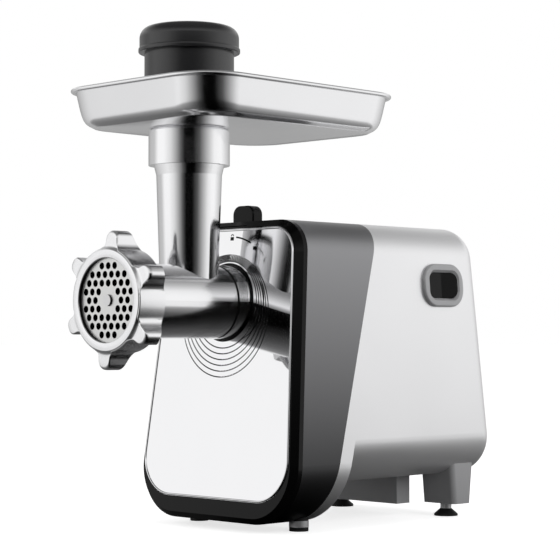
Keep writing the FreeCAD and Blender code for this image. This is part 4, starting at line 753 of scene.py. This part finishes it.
def rounded_corner(before, corner, after, radius):
    """An arc that rounds a corner between two straight edges."""
    before, corner, after = Vector(before), Vector(corner), Vector(after)
    first = (before - corner).normalized()
    second = (after - corner).normalized()
    half = first.angle(second) / 2
    centre = corner + (first + second).normalized() * (radius / math.sin(half))
    start = corner + first * (radius / math.tan(half)) - centre
    end = corner + second * (radius / math.tan(half)) - centre
    shares = [step / PLATE_CORNER_STEPS for step in range(PLATE_CORNER_STEPS + 1)]
    return [tuple(centre + start.slerp(end, share) * radius) for share in shares]


def plate_outline(inset):
    """The mirror plate's outline as (x, z), drawn in."""
    low = BODY_BOTTOM + PLATE_BOTTOM_INSET + inset
    high = BODY_TOP - PLATE_INSET - inset
    half_low = side_at(low, PLATE_INSET + inset)
    half_high = side_at(high, PLATE_INSET + inset)
    corners = [(half_low, low), (half_high, high), (-half_high, high), (-half_low, low)]
    rounds = [PLATE_BOTTOM_ROUND, PLATE_TOP_ROUND, PLATE_TOP_ROUND, PLATE_BOTTOM_ROUND]
    outline = []
    for index, radius in enumerate(rounds):
        following = corners[(index + 1) % len(corners)]
        outline += rounded_corner(corners[index - 1], corners[index], following, radius - inset)
    return outline


def make_plate_trim():
    """A thin raised bead round the mirror plate's edge."""
    loops = []
    for across, rise in arc((TRIM_INSET, 0), TRIM_RADIUS, 0, 180, TRIM_STEPS):
        loops.append([on_plate(x, z, rise) for x, z in plate_outline(across)])
    points, faces = skin(loops, False)
    new_piece("plate_trim", points, faces, "mirror_plate", "casing")


def make_plate_ring_shade():
    """Painted shade: dark floors for the plate's ring grooves."""
    rings = []
    for ring in range(RING_COUNT):
        middle = AXIS_Z - RING_DROP * (ring + 1)
        loops = []
        for edge in (-RING_WIDTH / 2, RING_WIDTH / 2):
            radius = RING_FIRST + ring * RING_STEP + edge
            loops.append([on_plate(radius * math.sin(turn), middle + radius * math.cos(turn), -RING_SINK)
                          for turn in turns(RING_SEGMENTS)])
        rings.append(skin(loops, False))
    points, faces = joined(rings)
    new_piece("plate_ring_shade", points, faces, "black_plastic", "casing")


def ribbon(path, width):
    """Points and faces of a flat strip along a path of (x, z) on the plate."""
    points = []
    for index, spot in enumerate(path):
        near = path[max(0, index - 1)]
        far = path[min(len(path) - 1, index + 1)]
        along = (Vector(far) - Vector(near)).normalized()
        side = Vector((-along.y, along.x)) * width / 2
        points += [tuple(Vector(spot) + side), tuple(Vector(spot) - side)]
    faces = [(2 * step, 2 * step + 1, 2 * step + 3, 2 * step + 2) for step in range(len(path) - 1)]
    return [on_plate(x, z, SIGN_PROUD) for x, z in points], faces


def make_lock_signs():
    """A closed and an open padlock with an arc between them."""
    start, end = [90 - turn for turn in ARROW_TURNS]
    strips = [ribbon(arc((0, AXIS_Z), SIGN_RADIUS, start, end, ARROW_STEPS), ARROW_WIDTH)]
    for number, turn in enumerate(LOCK_TURNS):
        x = SIGN_RADIUS * math.sin(math.radians(turn))
        z = AXIS_Z + SIGN_RADIUS * math.cos(math.radians(turn))
        strips.append(ribbon([(x, z - LOCK_HEIGHT), (x, z)], LOCK_WIDTH))
        shackle = (x + number * SHACKLE_RADIUS * 2, z + SHACKLE_RADIUS / 2)
        strips.append(ribbon(arc(shackle, SHACKLE_RADIUS, 0, 180, SHACKLE_STEPS), SHACKLE_WIDTH))
    points, faces = joined(strips)
    new_piece("lock_signs", points, faces, "black_plastic", "casing")


# Painted shade in the groove round the barrel, in front of its collar

GROOVE_SHADE_RADIUS = 26.25
GROOVE_SHADE_WIDTH = 1.5
COLLAR_FRONT = 22


def make_barrel_groove_shade():
    """Painted shade: a dark band at the bottom of the groove in front of the barrel's collar."""
    back = box_of("grinder_head")[1].y - COLLAR_FRONT
    circle = [(GROOVE_SHADE_RADIUS * math.sin(turn), AXIS_Z + GROOVE_SHADE_RADIUS * math.cos(turn))
              for turn in turns(LATHE_SEGMENTS)]
    loops = [[(x, along, z) for x, z in circle] for along in (back - GROOVE_SHADE_WIDTH, back)]
    points, faces = skin(loops, False)
    new_piece("barrel_groove_shade", points, faces, "dark_steel", "head")


# Pale collars on the front feet and on the suction cups' stems

COLLAR_WALL = 1
STEM_RADIUS = 4.3
STEM_LOW = 5.2
STEM_TOP = 10
FOOT_PROUD = 0.15
FOOT_LOW = 3
FOOT_TOP = 7.6


def make_collar(name, node, radius, low_level, high_level):
    """A pale sleeve round an upright rubber piece, between two levels."""
    low, high = box_of(node)
    inner = radius - COLLAR_WALL
    profile = [(inner, low_level), (radius, low_level), (radius, high_level), (inner, high_level)]
    points, faces = lathe(profile, (low.x + high.x) / 2, (low.y + high.y) / 2)
    new_piece(name, points, faces, "silver_body", "casing")


def make_collars():
    """The collars of both cups and both feet."""
    for side in ("left", "right"):
        make_collar("cup_stem_" + side, "suction_cup_" + side, STEM_RADIUS, STEM_LOW, STEM_TOP)
        foot = "front_foot_" + side
        low, high = box_of(foot)
        foot_radius = (high.x - low.x) / 2 + FOOT_PROUD
        make_collar("foot_collar_" + side, foot, foot_radius, FOOT_LOW, FOOT_TOP)


# Lock spring


def make_lock_spring():
    """The coil under the lock button, copied onto the casing; in the real grinder it shortens as the button goes
    down.
    """
    piece = bpy.data.objects.new("lock_spring_coil", nodes["lock_spring"].data.copy())
    bpy.context.scene.collection.objects.link(piece)
    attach(piece, "casing")
    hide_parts("lock_spring")
    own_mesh(piece)


make_ring_nut()
make_tray()
make_pusher_cap()
make_switch_frame()
make_plate_trim()
make_plate_ring_shade()
make_lock_signs()
make_barrel_groove_shade()
make_collars()
make_lock_spring()


# Camera

def make_camera():
    """The photograph's camera, tipped by the horizon's place in the frame."""
    data = bpy.data.cameras.new("camera")
    data.sensor_width = SENSOR_WIDTH
    data.lens = SENSOR_WIDTH * FOCAL_PIXELS / FRAME_PIXELS
    data.clip_start = CLIP_NEAR
    data.clip_end = CLIP_FAR
    camera = bpy.data.objects.new("camera", data)
    pitch = math.degrees(math.atan((HORIZON_PIXEL - FRAME_PIXELS / 2) / FOCAL_PIXELS))
    camera.location = CAMERA_SPOT
    camera.rotation_euler = (math.radians(90 + pitch), 0, math.radians(CAMERA_AZIMUTH))
    bpy.context.scene.collection.objects.link(camera)
    bpy.context.scene.camera = camera


# Studio

def ramp(add, source, stops):
    """A brightness read from stops of (place from 0 to 1, brightness)."""
    node = add("ValToRGB", {"Fac": source})
    band = node.color_ramp
    for place, _ in stops[1:-1]:
        band.elements.new(place)
    for element, (place, bright) in zip(band.elements, stops):
        element.position = place
        element.color = (bright, bright, bright, 1)
    return node.outputs["Color"]


def round_light(add, heading, stops):
    """A brightness by the compass angle of a heading, from stops of (angle, brightness)."""
    parts = add("SeparateXYZ", {"Vector": heading})
    compass = compute(add, "ARCTAN2", parts.outputs["Y"], parts.outputs["X"])
    turn = remap(add, compass, 0, 1, -math.pi, math.pi)
    return ramp(add, turn, [((angle + 180) / 360, bright) for angle, bright in stops])


def climb(add, rise, low, high, start, end):
    """A value that changes between two angles above the horizon."""
    return remap(add, rise, low, high, math.sin(math.radians(start)), math.sin(math.radians(end)))


def make_world():
    """White to the camera, a studio of soft light to polished faces, and even light elsewhere."""
    world = bpy.data.worlds.new("studio")
    world.use_nodes = True
    bpy.context.scene.world = world
    tree = world.node_tree
    tree.nodes.clear()
    add = node_adder(tree)
    path = add("LightPath")
    heading = add("TexCoord").outputs["Generated"]
    rise = add("SeparateXYZ", {"Vector": heading}).outputs["Z"]
    height = climb(add, rise, 1, CEILING_LIGHT, CEILING_STARTS, CEILING_ENDS)
    upper = climb(add, rise, 0, 1, UPPER_STARTS, UPPER_ENDS)
    walls = blend(add, upper, round_light(add, heading, STUDIO_ROUND), UPPER_LIGHT)
    studio = compute(add, "MULTIPLY", walls, height)
    clear = compute(add, "MAXIMUM", path.outputs["Is Camera Ray"], path.outputs["Is Transmission Ray"])
    shiny = blend(add, path.outputs["Is Glossy Ray"], WORLD_LIGHT, studio)
    bright = blend(add, clear, shiny, 1.0)
    background = add("Background", {"Color": (1, 1, 1, 1), "Strength": bright})
    output = add("OutputWorld", {"Surface": background.outputs["Background"]})
    output.is_active_output = True


def make_floor():
    """A white floor with a soft shadow; polished faces see it dark near the object and bright far off."""
    mesh = bpy.data.meshes.new("floor")
    half = FLOOR_SIZE / 2
    corners = [(-half, -half, 0), (half, -half, 0), (half, half, 0), (-half, half, 0)]
    mesh.from_pydata(corners, [], [(0, 1, 2, 3)])
    floor = bpy.data.objects.new("floor", mesh)
    bpy.context.scene.collection.objects.link(floor)
    material, add, links, output = new_material("floor")
    where = add("TexCoord").outputs["Object"]
    speckle = noise(add, where, SPECKLE_SCALE, SPECKLE_DETAIL)
    white = tint(add, speckle, *shades(FLOOR_COLOUR, SPECKLE_SPREAD))
    paint = add("BsdfPrincipled", {"Base Color": white, "Roughness": FLOOR_ROUGHNESS})
    glow = add("Emission", {"Color": (1, 1, 1, 1), "Strength": FLOOR_GLOW})
    seen = add("AddShader", {0: paint.outputs["BSDF"], 1: glow.outputs["Emission"]})
    reach = add("VectorMath", {0: where}, operation="LENGTH").outputs["Value"]
    far = ramp(add, remap(add, reach, 0, 1, 0, FLOOR_FAR),
               [(place / FLOOR_FAR, bright) for place, bright in FLOOR_STEPS])
    mirrored = add("Emission", {"Color": round_light(add, where, FLOOR_ROUND), "Strength": far})
    direct = add("LightPath").outputs["Is Camera Ray"]
    both = add("MixShader", {0: direct, 1: mirrored.outputs["Emission"], 2: seen.outputs["Shader"]})
    links.new(both.outputs["Shader"], output.inputs["Surface"])
    mesh.materials.append(material)


def softbox(name, spot, size, power):
    """An area lamp at a spot, turned to the object, that polished faces don't mirror."""
    data = bpy.data.lights.new(name, "AREA")
    data.shape = "RECTANGLE"
    data.size, data.size_y = size
    data.energy = power
    lamp = bpy.data.objects.new(name, data)
    lamp.location = spot
    lamp.rotation_euler = (Vector(LIGHT_AIM) - Vector(spot)).to_track_quat("-Z", "Y").to_euler()
    lamp.visible_glossy = False
    bpy.context.scene.collection.objects.link(lamp)


make_camera()
make_world()
make_floor()
softbox("key", KEY_SPOT, KEY_SIZE, KEY_POWER)
softbox("fill", FILL_SPOT, FILL_SIZE, FILL_POWER)
softbox("top", TOP_SPOT, TOP_SIZE, TOP_POWER)

bpy.context.scene.view_settings.view_transform = "Standard"
